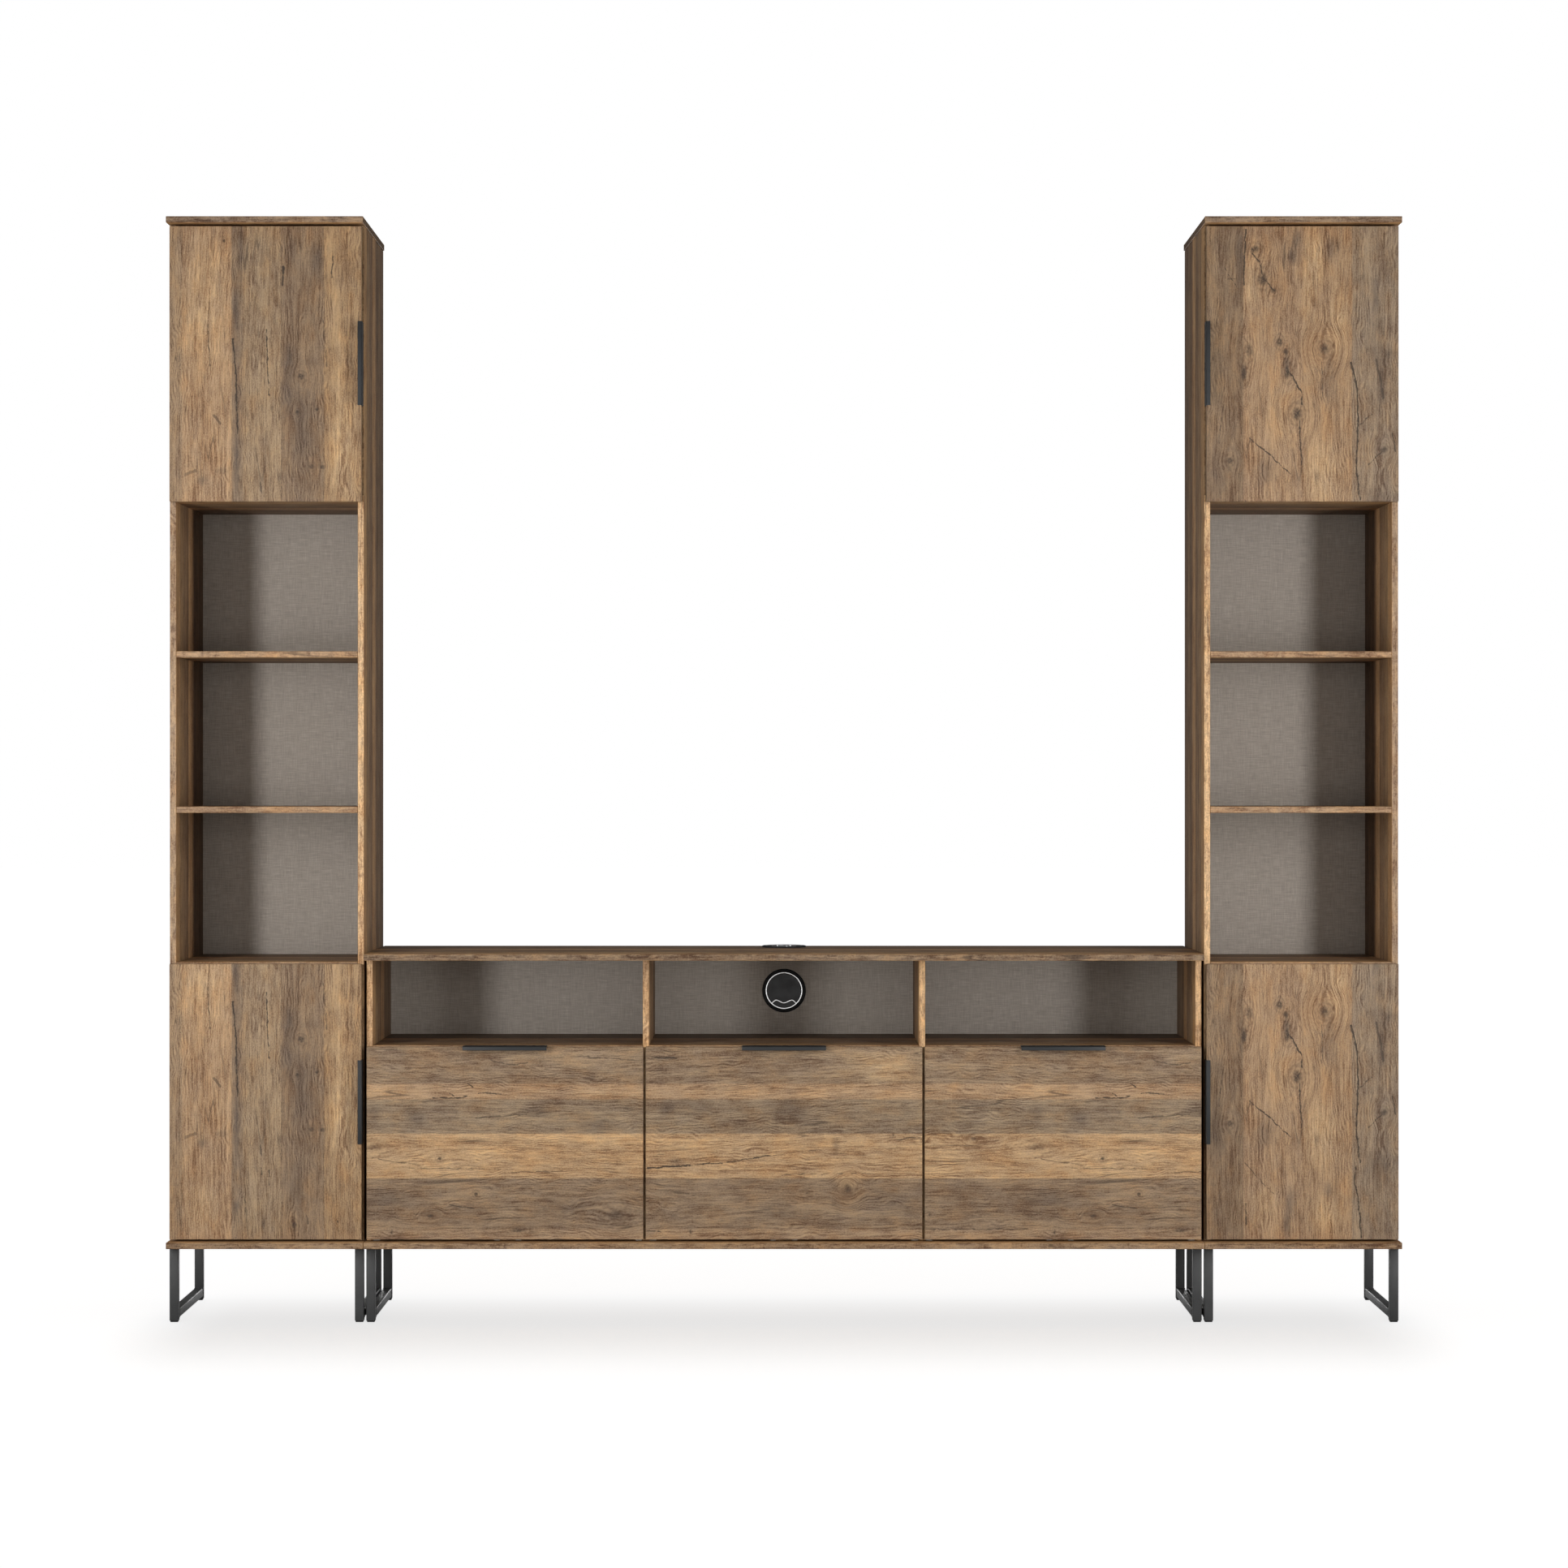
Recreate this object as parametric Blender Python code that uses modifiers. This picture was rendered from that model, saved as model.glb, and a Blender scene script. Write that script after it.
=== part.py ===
"""Entertainment center: a low console between two cabinet towers, all on black sled legs.

Metres, +Z up.  X runs across the front, Y from the front to the back, and the origin lies
on the floor under the middle of the whole set.  A side of -1 is the left, +1 the right.
"""

import math

import bmesh
import bpy
from mathutils import Matrix, Vector

# Overall sizes of the three units
TOWER_WIDTH = 0.375
TOWER_HEIGHT = 2.108
CONSOLE_WIDTH = 1.600
CONSOLE_HEIGHT = 0.704
UNIT_DEPTH = 0.400
UNIT_GAP = 0.0008
LEG_HEIGHT = 0.1433

# Boards and the clearances between them
BOARD = 0.012
FRONT_THICKNESS = 0.016
PANEL_INSET = 0.002
JOINT_GAP = 0.0003
EDGE_ROUND = 0.0006
FACE_SETBACK = 0.020
FACE_GAP = 0.0015
CUT_OVERRUN = 0.010
WELD_DISTANCE = 0.00003

# Back panels, slid into grooves ahead of the rear edges
BACK_THICKNESS = 0.003
BACK_INSET = 0.012
GROOVE_DEPTH = 0.004

# Tower divisions and doors
LOWER_CUPBOARD_HEIGHT = 0.5207
UPPER_CUPBOARD_HEIGHT = 0.5175
OPEN_SHELF_COUNT = 2
DOOR_END_GAP = 0.004
LOWER_DOOR_DROP = 0.0034
UPPER_DOOR_RISE = 0.0003
DOOR_OUTER_INSET = 0.0018
DOOR_INNER_INSET = 0.0032

# Console divisions and drawers
NICHE_HEIGHT = 0.1636
BAYS = {"left": -1, "center": 0, "right": 1}
DRAWER_FACE_INSET = 0.002
DRAWER_FACE_SPACING = 0.0045
DRAWER_FACE_DROP = 0.002
DRAWER_FACE_END_GAP = 0.004
DRAWER_BOARD = 0.012
DRAWER_DEPTH = 0.320
DRAWER_SIDE_HEIGHT = 0.212
DRAWER_BACK_DROP = 0.012
DRAWER_SIDE_CLEARANCE = 0.0015
DRAWER_BOTTOM_THICKNESS = 0.004
DRAWER_BOTTOM_RISE = 0.012
CENTER_RAIL_WIDTH = 0.030
CENTER_RAIL_HEIGHT = 0.009
CENTER_RAIL_LENGTH = 0.300
CENTER_RAIL_SETBACK = 0.006
GUIDE_RIB_WIDTH = 0.010
GUIDE_GAP = 0.0006

# Edge-pull handles bent from flat strip
HANDLE_LENGTH = 0.160
HANDLE_THICKNESS = 0.002
HANDLE_REACH = 0.014
HANDLE_LIP = 0.008
HANDLE_ROUND = 0.0004

# Concealed cup hinges
HINGE_END_OFFSET = 0.090
CUP_RADIUS = 0.0172
CUP_DEPTH = 0.0103
CUP_RIM = 0.0009
CUP_EDGE_OFFSET = 0.0225
CUP_SIDES = 16
WING_HEIGHT = 0.052
WING_WIDTH = 0.020
WING_THICKNESS = 0.0012
WING_BITE = 0.0012
ARM_LENGTH = 0.072
ARM_HEIGHT = 0.014
ARM_THICKNESS = 0.011
ARM_TIP_DEPTH = 0.006
RISER_LENGTH = 0.040
RISER_HEIGHT = 0.018
RISER_THICKNESS = 0.0035
PLATE_LENGTH = 0.016
PLATE_HEIGHT = 0.048
PLATE_THICKNESS = 0.002
PLATE_SETBACK = 0.037

# Sled leg frames of square tube
TUBE = 0.017
TUBE_ROUND = 0.001
LEG_SETBACK = 0.032
RAIL_CLEARANCE = 0.0072
STRAP_THICKNESS = 0.003
GLIDE_THICKNESS = 0.0028
GLIDE_INSET = 0.0012
GLIDE_BITE = 0.003

# Round cable grommets
HOLE_RADIUS = 0.0400
SLEEVE_RADIUS = 0.0397
SLEEVE_WALL = 0.0020
SLEEVE_REACH = 0.0140
FLANGE_RADIUS = 0.0435
FLANGE_HEIGHT = 0.0030
FLANGE_LIP = 0.0014
FLANGE_TAPER = 0.0015
CAP_RADIUS = 0.0368
CAP_SEAT = 0.0008
CAP_CROWN = 0.0036
CAP_TAPER = 0.0025
LEDGE_RADIUS = 0.0335
LEDGE_THICKNESS = 0.0016
CAP_SKIRT = 0.0020
CAP_SKIRT_WALL = 0.0020
TURNING_GAP = 0.0004
TURN_STEPS = 28
TOP_GROMMET_INSET = 0.062
BACK_GROMMET_DROP = 0.077
OUTLET_HALF_WIDTH = 0.0236
OUTLET_PEAK_OFFSET = 0.0166
OUTLET_PEAK_DROP = 0.0190
OUTLET_DIP_DROP = 0.0245
OUTLET_ARC_RADIUS = 0.0341
OUTLET_STEPS = 8

# Planes and heights that follow from the sizes above
FRONT_Y = -UNIT_DEPTH / 2
REAR_Y = UNIT_DEPTH / 2
FACE_Y = FRONT_Y + FACE_SETBACK
FACE_BACK_Y = FACE_Y + FRONT_THICKNESS
CARCASS_Y = FACE_BACK_Y + FACE_GAP
BACK_Y = REAR_Y - BACK_INSET - BACK_THICKNESS
SHELF_REAR_Y = BACK_Y - JOINT_GAP
FLOOR_PANEL_TOP = LEG_HEIGHT + BOARD

TOWER_NEAR = CONSOLE_WIDTH / 2 + UNIT_GAP
TOWER_FAR = TOWER_NEAR + TOWER_WIDTH
TOWER_INNER_FACE = TOWER_NEAR + PANEL_INSET
TOWER_OUTER_FACE = TOWER_FAR - PANEL_INSET
TOWER_CEILING = TOWER_HEIGHT - BOARD
LOWER_SHELF_Z = FLOOR_PANEL_TOP + LOWER_CUPBOARD_HEIGHT
UPPER_SHELF_Z = TOWER_CEILING - UPPER_CUPBOARD_HEIGHT - BOARD
DOOR_NEAR = TOWER_INNER_FACE + DOOR_INNER_INSET
DOOR_FAR = TOWER_OUTER_FACE - DOOR_OUTER_INSET

CONSOLE_FACE = CONSOLE_WIDTH / 2 - PANEL_INSET
CONSOLE_CEILING = CONSOLE_HEIGHT - BOARD
DECK_TOP = CONSOLE_CEILING - NICHE_HEIGHT
BAY_WIDTH = (2 * (CONSOLE_FACE - BOARD) - (len(BAYS) - 1) * BOARD) / len(BAYS)
BAY_PITCH = BAY_WIDTH + BOARD
DRAWER_FACE_WIDTH = (2 * (CONSOLE_FACE - DRAWER_FACE_INSET)
                     - (len(BAYS) - 1) * DRAWER_FACE_SPACING) / len(BAYS)
DRAWER_FACE_PITCH = DRAWER_FACE_WIDTH + DRAWER_FACE_SPACING

# Colour, roughness and metallic value of each finish
FINISHES = {
    "oak": ((0.300, 0.205, 0.130, 1.0), 0.55, 0.0),
    "carcass_oak": ((0.240, 0.165, 0.105, 1.0), 0.60, 0.0),
    "linen": ((0.165, 0.145, 0.125, 1.0), 0.85, 0.0),
    "drawer_board": ((0.420, 0.370, 0.300, 1.0), 0.60, 0.0),
    "black_steel": ((0.035, 0.035, 0.037, 1.0), 0.45, 0.6),
    "black_plastic": ((0.022, 0.022, 0.024, 1.0), 0.50, 0.0),
    "beech": ((0.520, 0.380, 0.230, 1.0), 0.65, 0.0),
}

SIDE_NAMES = {-1: "left", 1: "right"}


def clear_scene():
    """Remove every object of the open scene."""
    for item in list(bpy.data.objects):
        bpy.data.objects.remove(item, do_unlink=True)


def make_collection(name):
    """Return a new collection linked to the scene."""
    collection = bpy.data.collections.new(name)
    bpy.context.scene.collection.children.link(collection)
    return collection


def make_material(name, finish):
    """Return a Principled material of one finish."""
    color, roughness, metallic = FINISHES[finish]
    material = bpy.data.materials.new(name + "_" + finish)
    material.use_nodes = True
    shader = material.node_tree.nodes["Principled BSDF"]
    shader.inputs["Base Color"].default_value = color
    shader.inputs["Roughness"].default_value = roughness
    shader.inputs["Metallic"].default_value = metallic
    return material


def mesh_centre(mesh):
    """Return the centre of a mesh's bounding box."""
    lows = [min(vertex.co[axis] for vertex in mesh.vertices) for axis in range(3)]
    highs = [max(vertex.co[axis] for vertex in mesh.vertices) for axis in range(3)]
    return Vector([(low + high) / 2 for low, high in zip(lows, highs)])


def attach(part, carrier):
    """Parent a placed part to the empty that stands on its joint axis."""
    part.parent = carrier
    part.location = part.location - carrier.location


def add_part(name, mesh, finish, carrier=None):
    """Add a mesh given in world places as a part whose origin is its own centre."""
    centre = mesh_centre(mesh)
    mesh.transform(Matrix.Translation(-centre))
    mesh.materials.append(make_material(name, finish))
    part = bpy.data.objects.new(name, mesh)
    part.location = centre
    PARTS.objects.link(part)
    if carrier:
        attach(part, carrier)
    return part


def add_cube(shape, low, high):
    """Add a box between two corners to a bmesh."""
    size = [far - near for near, far in zip(low, high)]
    middle = [(near + far) / 2 for near, far in zip(low, high)]
    place = Matrix.Translation(middle) @ Matrix.Diagonal((*size, 1))
    bmesh.ops.create_cube(shape, size=1, matrix=place)


def boxes_mesh(name, boxes):
    """Return a mesh that holds one cube for each pair of corners."""
    shape = bmesh.new()
    for low, high in boxes:
        add_cube(shape, low, high)
    mesh = bpy.data.meshes.new(name)
    shape.to_mesh(mesh)
    shape.free()
    return mesh


def round_edges(part, width):
    """Take the sharpness off every edge of a part."""
    bevel = part.modifiers.new("Rounded edges", "BEVEL")
    bevel.width = width
    bevel.segments = 1


def add_board(name, low, high, finish, carrier=None, rounding=EDGE_ROUND):
    """Add one board with rounded edges, given by its two corners."""
    part = add_part(name, boxes_mesh(name, [(low, high)]), finish, carrier)
    round_edges(part, rounding)
    return part


def add_cutter(name, mesh):
    """Add a mesh in world places as a hidden cutter."""
    cutter = bpy.data.objects.new(name, mesh)
    cutter.hide_render = True
    cutter.display_type = "WIRE"
    CUTTERS.objects.link(cutter)
    return cutter


def cut(part, cutter):
    """Take the cutter's volume out of a part."""
    boolean = part.modifiers.new("Cut", "BOOLEAN")
    boolean.operation = "DIFFERENCE"
    boolean.object = cutter


def fuse(part, tool):
    """Join the tool's volume to a part."""
    boolean = part.modifiers.new("Join", "BOOLEAN")
    boolean.operation = "UNION"
    boolean.object = tool


def across(side, near, far):
    """Return the low and high X of a stretch measured outwards from the middle."""
    return min(side * near, side * far), max(side * near, side * far)


def grown(low, high, gap):
    """Return a box's corners moved out by a gap on every side."""
    return [value - gap for value in low], [value + gap for value in high]


def rods_mesh(name, rods, radius, sides, axis):
    """Return a mesh of round rods, each given by its centre and its length along an axis."""
    turn = Vector((0, 0, 1)).rotation_difference(Vector(axis)).to_matrix().to_4x4()
    shape = bmesh.new()
    for centre, length in rods:
        bmesh.ops.create_cone(shape, cap_ends=True, segments=sides, radius1=radius,
                              radius2=radius, depth=length,
                              matrix=Matrix.Translation(centre) @ turn)
    mesh = bpy.data.meshes.new(name)
    shape.to_mesh(mesh)
    shape.free()
    return mesh


def add_back_panel(name, x_span, bottom, top):
    """Add a thin back panel held in grooves, and return it with the groove cutter."""
    bite = GROOVE_DEPTH - JOINT_GAP
    low = (x_span[0] - bite, BACK_Y, bottom - bite)
    high = (x_span[1] + bite, BACK_Y + BACK_THICKNESS, top + bite)
    panel = add_part(name, boxes_mesh(name, [(low, high)]), "linen")
    groove = add_cutter(name + "_groove", boxes_mesh(name + "_groove", [grown(low, high, JOINT_GAP)]))
    return panel, groove


def add_leg_frame(name, x_span):
    """Add a closed loop of square tube on two glides, with its rail clear of the floor."""
    front = FRONT_Y + LEG_SETBACK
    rear = REAR_Y - LEG_SETBACK
    top = LEG_HEIGHT - JOINT_GAP
    frame = add_board(name, (x_span[0], front, GLIDE_THICKNESS), (x_span[1], rear, top),
                      "black_steel", rounding=TUBE_ROUND)
    side_cut = (x_span[0] - CUT_OVERRUN, x_span[1] + CUT_OVERRUN)
    window = ((side_cut[0], front + TUBE, RAIL_CLEARANCE + TUBE),
              (side_cut[1], rear - TUBE, top - STRAP_THICKNESS))
    relief = ((side_cut[0], front + TUBE, -CUT_OVERRUN), (side_cut[1], rear - TUBE, RAIL_CLEARANCE))
    cut(frame, add_cutter(name + "_window", boxes_mesh(name + "_window", [window])))
    cut(frame, add_cutter(name + "_relief", boxes_mesh(name + "_relief", [relief])))
    glides = []
    for foot in (front, rear - TUBE):
        glides.append(((x_span[0] + GLIDE_INSET, foot + GLIDE_INSET, 0),
                       (x_span[1] - GLIDE_INSET, foot + TUBE - GLIDE_INSET,
                        GLIDE_THICKNESS + GLIDE_BITE)))
    fuse(frame, add_cutter(name + "_glides", boxes_mesh(name + "_glides", glides)))


def joint_axis(name, place):
    """Add the empty that marks a joint's axis and carries its moving pieces."""
    axis = bpy.data.objects.new(name, None)
    axis.location = place
    PARTS.objects.link(axis)
    return axis


def add_handle(name, corner, along, forward, inward, carrier):
    """Add an edge pull: a strip over a front's edge, turned down in front as a lip.

    The outline lies in the plane of the inward and forward directions, from the corner
    where the front's edge meets its back face, and is extruded along the edge.
    """
    reach = FRONT_THICKNESS + HANDLE_REACH
    seat = JOINT_GAP
    outer = seat + HANDLE_THICKNESS
    outline = [(0, -seat), (0, -outer), (reach, -outer), (reach, HANDLE_LIP - outer),
               (reach - HANDLE_THICKNESS, HANDLE_LIP - outer), (reach - HANDLE_THICKNESS, -seat)]
    turn = Matrix((forward, inward, along)).transposed().to_4x4()
    mesh = extruded_outline(name, outline, HANDLE_LENGTH)
    settle_mesh(mesh, Matrix.Translation(corner) @ turn)
    round_edges(add_part(name, mesh, "black_steel", carrier), HANDLE_ROUND)


def add_hinge_cups(name, side, heights, door):
    """Let two steel cups into a door's back, each with a proud rim and two screw wings."""
    x = side * (DOOR_FAR - CUP_EDGE_OFFSET)
    mouth = FACE_BACK_Y + WING_THICKNESS
    root = FACE_BACK_Y - WING_BITE
    rims = [((x, (mouth + root) / 2, z), mouth - root) for z in heights]
    wings = [((x - WING_WIDTH / 2, root, z - WING_HEIGHT / 2),
              (x + WING_WIDTH / 2, mouth, z + WING_HEIGHT / 2)) for z in heights]
    floor = FACE_BACK_Y - CUP_DEPTH
    far = mouth + CUT_OVERRUN
    hollows = [((x, (far + floor) / 2, z), far - floor) for z in heights]
    y_axis = (0, 1, 0)
    rim_mesh = rods_mesh(name + "_rims", rims, CUP_RADIUS, CUP_SIDES, y_axis)
    hollow_mesh = rods_mesh(name + "_hollows", hollows, CUP_RADIUS - CUP_RIM, CUP_SIDES, y_axis)
    fuse(door, add_cutter(name + "_rims", rim_mesh))
    fuse(door, add_cutter(name + "_wings", boxes_mesh(name + "_wings", wings)))
    cut(door, add_cutter(name + "_hollows", hollow_mesh))


def add_hinge_arms(name, side, heights, panel):
    """Join a plate, a riser and an arm to a side panel at the height of each hinge."""
    wall = TOWER_OUTER_FACE - BOARD
    bed = wall + BOARD / 2
    middle = CARCASS_Y + PLATE_SETBACK
    tip = FACE_BACK_Y - ARM_TIP_DEPTH
    plate_face = wall - PLATE_THICKNESS
    riser_face = plate_face - RISER_THICKNESS
    arm_face = riser_face - ARM_THICKNESS
    plate = across(side, plate_face, bed)
    riser = across(side, riser_face, bed)
    arm = across(side, arm_face, (riser_face + plate_face) / 2)
    plates = []
    risers = []
    arms = []
    for z in heights:
        plates.append(((plate[0], middle - PLATE_LENGTH / 2, z - PLATE_HEIGHT / 2),
                       (plate[1], middle + PLATE_LENGTH / 2, z + PLATE_HEIGHT / 2)))
        risers.append(((riser[0], middle - RISER_LENGTH / 2, z - RISER_HEIGHT / 2),
                       (riser[1], middle + RISER_LENGTH / 2, z + RISER_HEIGHT / 2)))
        arms.append(((arm[0], tip, z - ARM_HEIGHT / 2), (arm[1], tip + ARM_LENGTH, z + ARM_HEIGHT / 2)))
    for label, boxes in (("_plates", plates), ("_risers", risers), ("_arms", arms)):
        fuse(panel, add_cutter(name + label, boxes_mesh(name + label, boxes)))


def add_door(side, level, bottom, top, panel):
    """Add one tower door on its outer hinge axis, with its handle and its two hinges."""
    name = SIDE_NAMES[side] + "_" + level
    x_span = across(side, DOOR_NEAR, DOOR_FAR)
    axis = joint_axis(name + "_hinge_axis", (side * DOOR_FAR, FACE_BACK_Y, (bottom + top) / 2))
    door = add_board(name + "_door", (x_span[0], FACE_Y, bottom), (x_span[1], FACE_BACK_Y, top),
                     "oak", axis)
    heights = [bottom + HINGE_END_OFFSET, top - HINGE_END_OFFSET]
    add_hinge_cups(name + "_hinge", side, heights, door)
    add_hinge_arms(name + "_hinge", side, heights, panel)
    add_handle(name + "_handle", (side * DOOR_NEAR, FACE_BACK_Y, (bottom + top) / 2),
               (0, 0, 1), (0, -1, 0), (side, 0, 0), axis)


def add_tower(side):
    """Add one cabinet tower with its doors and leg frames."""
    prefix = SIDE_NAMES[side] + "_tower_"
    panel_x = across(side, TOWER_NEAR, TOWER_FAR)
    inner_x = across(side, TOWER_INNER_FACE, TOWER_INNER_FACE + BOARD)
    outer_x = across(side, TOWER_OUTER_FACE - BOARD, TOWER_OUTER_FACE)
    bay_x = across(side, TOWER_INNER_FACE + BOARD, TOWER_OUTER_FACE - BOARD)
    low_z = FLOOR_PANEL_TOP + JOINT_GAP
    high_z = TOWER_CEILING - JOINT_GAP
    top = add_board(prefix + "top_panel", (panel_x[0], FRONT_Y, TOWER_CEILING),
                    (panel_x[1], REAR_Y, TOWER_HEIGHT), "oak")
    bottom = add_board(prefix + "bottom_panel", (panel_x[0], FRONT_Y, LEG_HEIGHT),
                       (panel_x[1], REAR_Y, FLOOR_PANEL_TOP), "oak")
    inner = add_board(prefix + "inner_side", (inner_x[0], CARCASS_Y, low_z),
                      (inner_x[1], REAR_Y, high_z), "oak")
    outer = add_board(prefix + "outer_side", (outer_x[0], CARCASS_Y, low_z),
                      (outer_x[1], REAR_Y, high_z), "oak")
    _, groove = add_back_panel(prefix + "back_panel", bay_x, FLOOR_PANEL_TOP, TOWER_CEILING)
    for board in (top, bottom, inner, outer):
        cut(board, groove)

    open_height = UPPER_SHELF_Z - LOWER_SHELF_Z - BOARD
    pitch = (open_height + BOARD) / (OPEN_SHELF_COUNT + 1)
    levels = {"lower_fixed_shelf": LOWER_SHELF_Z, "upper_fixed_shelf": UPPER_SHELF_Z}
    for number in range(1, OPEN_SHELF_COUNT + 1):
        levels["open_shelf_" + str(number)] = LOWER_SHELF_Z + pitch * number
    for part_name, z in levels.items():
        add_board(prefix + part_name, (bay_x[0] + JOINT_GAP, CARCASS_Y, z),
                  (bay_x[1] - JOINT_GAP, SHELF_REAR_Y, z + BOARD), "carcass_oak")
    add_door(side, "lower", FLOOR_PANEL_TOP + DOOR_END_GAP,
             LOWER_SHELF_Z + BOARD - LOWER_DOOR_DROP, outer)
    add_door(side, "upper", UPPER_SHELF_Z + UPPER_DOOR_RISE, TOWER_CEILING - DOOR_END_GAP, outer)
    add_leg_frame(prefix + "inner_leg_frame",
                  across(side, TOWER_INNER_FACE, TOWER_INNER_FACE + TUBE))
    add_leg_frame(prefix + "outer_leg_frame",
                  across(side, TOWER_OUTER_FACE - TUBE, TOWER_OUTER_FACE))


def add_drawer(bay, name):
    """Add one drawer on its slide axis: its front, its handle, its box and the rail below."""
    x_middle = bay * DRAWER_FACE_PITCH
    bay_middle = bay * BAY_PITCH
    bottom = FLOOR_PANEL_TOP + DRAWER_FACE_END_GAP
    top = DECK_TOP - DRAWER_FACE_DROP
    axis = joint_axis(name + "_slide_axis", (x_middle, FACE_Y, (bottom + top) / 2))
    face_x = (x_middle - DRAWER_FACE_WIDTH / 2, x_middle + DRAWER_FACE_WIDTH / 2)
    add_board(name + "_front", (face_x[0], FACE_Y, bottom), (face_x[1], FACE_BACK_Y, top), "oak", axis)
    add_handle(name + "_handle", (x_middle, FACE_BACK_Y, top), (1, 0, 0), (0, -1, 0), (0, 0, -1), axis)

    half = BAY_WIDTH / 2 - DRAWER_SIDE_CLEARANCE
    inner = half - DRAWER_BOARD
    near = FACE_BACK_Y + JOINT_GAP
    far = near + DRAWER_DEPTH
    base = FLOOR_PANEL_TOP + JOINT_GAP
    rim = base + DRAWER_SIDE_HEIGHT
    sheet_low = base + DRAWER_BOTTOM_RISE
    sheet_high = sheet_low + DRAWER_BOTTOM_THICKNESS
    box = add_board(name + "_box", (bay_middle - half, near, base), (bay_middle + half, far, rim),
                    "drawer_board", axis)
    back_near = far - DRAWER_BOARD
    pocket = ((bay_middle - inner, near - CUT_OVERRUN, sheet_high),
              (bay_middle + inner, back_near, rim + CUT_OVERRUN))
    back_drop = ((bay_middle - inner, back_near - CUT_OVERRUN, rim - DRAWER_BACK_DROP),
                 (bay_middle + inner, far + CUT_OVERRUN, rim + CUT_OVERRUN))
    channel = CENTER_RAIL_WIDTH / 2 + GUIDE_GAP
    rib = channel + GUIDE_RIB_WIDTH
    recesses = [(-inner, -rib), (-channel, channel), (rib, inner)]
    under = [((bay_middle + left, near - CUT_OVERRUN, base - CUT_OVERRUN),
              (bay_middle + right, far + CUT_OVERRUN, sheet_low)) for left, right in recesses]
    for label, boxes in (("_pocket", [pocket]), ("_back_drop", [back_drop]), ("_under", under)):
        cut(box, add_cutter(name + label, boxes_mesh(name + label, boxes)))

    rail_near = CARCASS_Y + CENTER_RAIL_SETBACK
    rail_far = rail_near + CENTER_RAIL_LENGTH
    rail_half = CENTER_RAIL_WIDTH / 2
    add_board(name + "_center_rail", (bay_middle - rail_half, rail_near, base),
              (bay_middle + rail_half, rail_far, base + CENTER_RAIL_HEIGHT), "beech")


def add_console():
    """Add the low console with its drawers, leg frames and grommets."""
    half = CONSOLE_WIDTH / 2
    low_z = FLOOR_PANEL_TOP + JOINT_GAP
    high_z = CONSOLE_CEILING - JOINT_GAP
    top = add_board("console_top_panel", (-half, FRONT_Y, CONSOLE_CEILING),
                    (half, REAR_Y, CONSOLE_HEIGHT), "oak")
    bottom = add_board("console_bottom_panel", (-half, FRONT_Y, LEG_HEIGHT),
                       (half, REAR_Y, FLOOR_PANEL_TOP), "oak")
    bay_x = (BOARD - CONSOLE_FACE, CONSOLE_FACE - BOARD)
    back, groove = add_back_panel("console_back_panel", bay_x, FLOOR_PANEL_TOP, CONSOLE_CEILING)
    cut(top, groove)
    cut(bottom, groove)
    for side, side_name in SIDE_NAMES.items():
        side_x = across(side, CONSOLE_FACE - BOARD, CONSOLE_FACE)
        upright = add_board("console_" + side_name + "_side", (side_x[0], CARCASS_Y, low_z),
                            (side_x[1], REAR_Y, high_z), "oak")
        cut(upright, groove)
        divider_x = across(side, BAY_WIDTH / 2, BAY_WIDTH / 2 + BOARD)
        add_board("console_" + side_name + "_divider", (divider_x[0], CARCASS_Y, low_z),
                  (divider_x[1], SHELF_REAR_Y, high_z), "oak")
        add_leg_frame("console_" + side_name + "_leg_frame",
                      across(side, CONSOLE_FACE - TUBE, CONSOLE_FACE))
    for bay_name, bay in BAYS.items():
        deck_x = (bay * BAY_PITCH - BAY_WIDTH / 2, bay * BAY_PITCH + BAY_WIDTH / 2)
        add_board("console_" + bay_name + "_deck", (deck_x[0] + JOINT_GAP, CARCASS_Y, DECK_TOP - BOARD),
                  (deck_x[1] - JOINT_GAP, SHELF_REAR_Y, DECK_TOP), "carcass_oak")
        add_drawer(bay, bay_name + "_drawer")
    add_grommet("top_grommet", (0, REAR_Y - TOP_GROMMET_INSET, CONSOLE_HEIGHT), (0, 0, 1), top)
    add_grommet("back_grommet", (0, BACK_Y, CONSOLE_CEILING - BACK_GROMMET_DROP), (0, -1, 0), back)


def turned_part(name, profile, closed, finish, place, facing, carrier=None):
    """Add a part turned about its own Z axis, which then faces the given way."""
    shape = bmesh.new()
    points = [shape.verts.new((radius, 0, height)) for radius, height in profile]
    for start, end in zip(points, points[1:]):
        shape.edges.new((start, end))
    if closed:
        shape.edges.new((points[-1], points[0]))
    mesh = bpy.data.meshes.new(name)
    shape.to_mesh(mesh)
    shape.free()
    mesh.materials.append(make_material(name, finish))
    part = bpy.data.objects.new(name, mesh)
    part.location = place
    part.rotation_euler = facing_turn(facing).to_euler()
    PARTS.objects.link(part)
    if carrier:
        attach(part, carrier)
    screw = part.modifiers.new("Turned", "SCREW")
    screw.steps = TURN_STEPS
    screw.render_steps = TURN_STEPS
    screw.use_merge_vertices = True
    screw.merge_threshold = WELD_DISTANCE
    return part


def facing_turn(facing):
    """Return the turn that points Z the given way and keeps a wall part's Y upright."""
    if facing[2]:
        return Matrix.Identity(3)
    up = Vector((0, 0, 1))
    out = Vector(facing)
    return Matrix((up.cross(out), up, out)).transposed()


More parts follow.
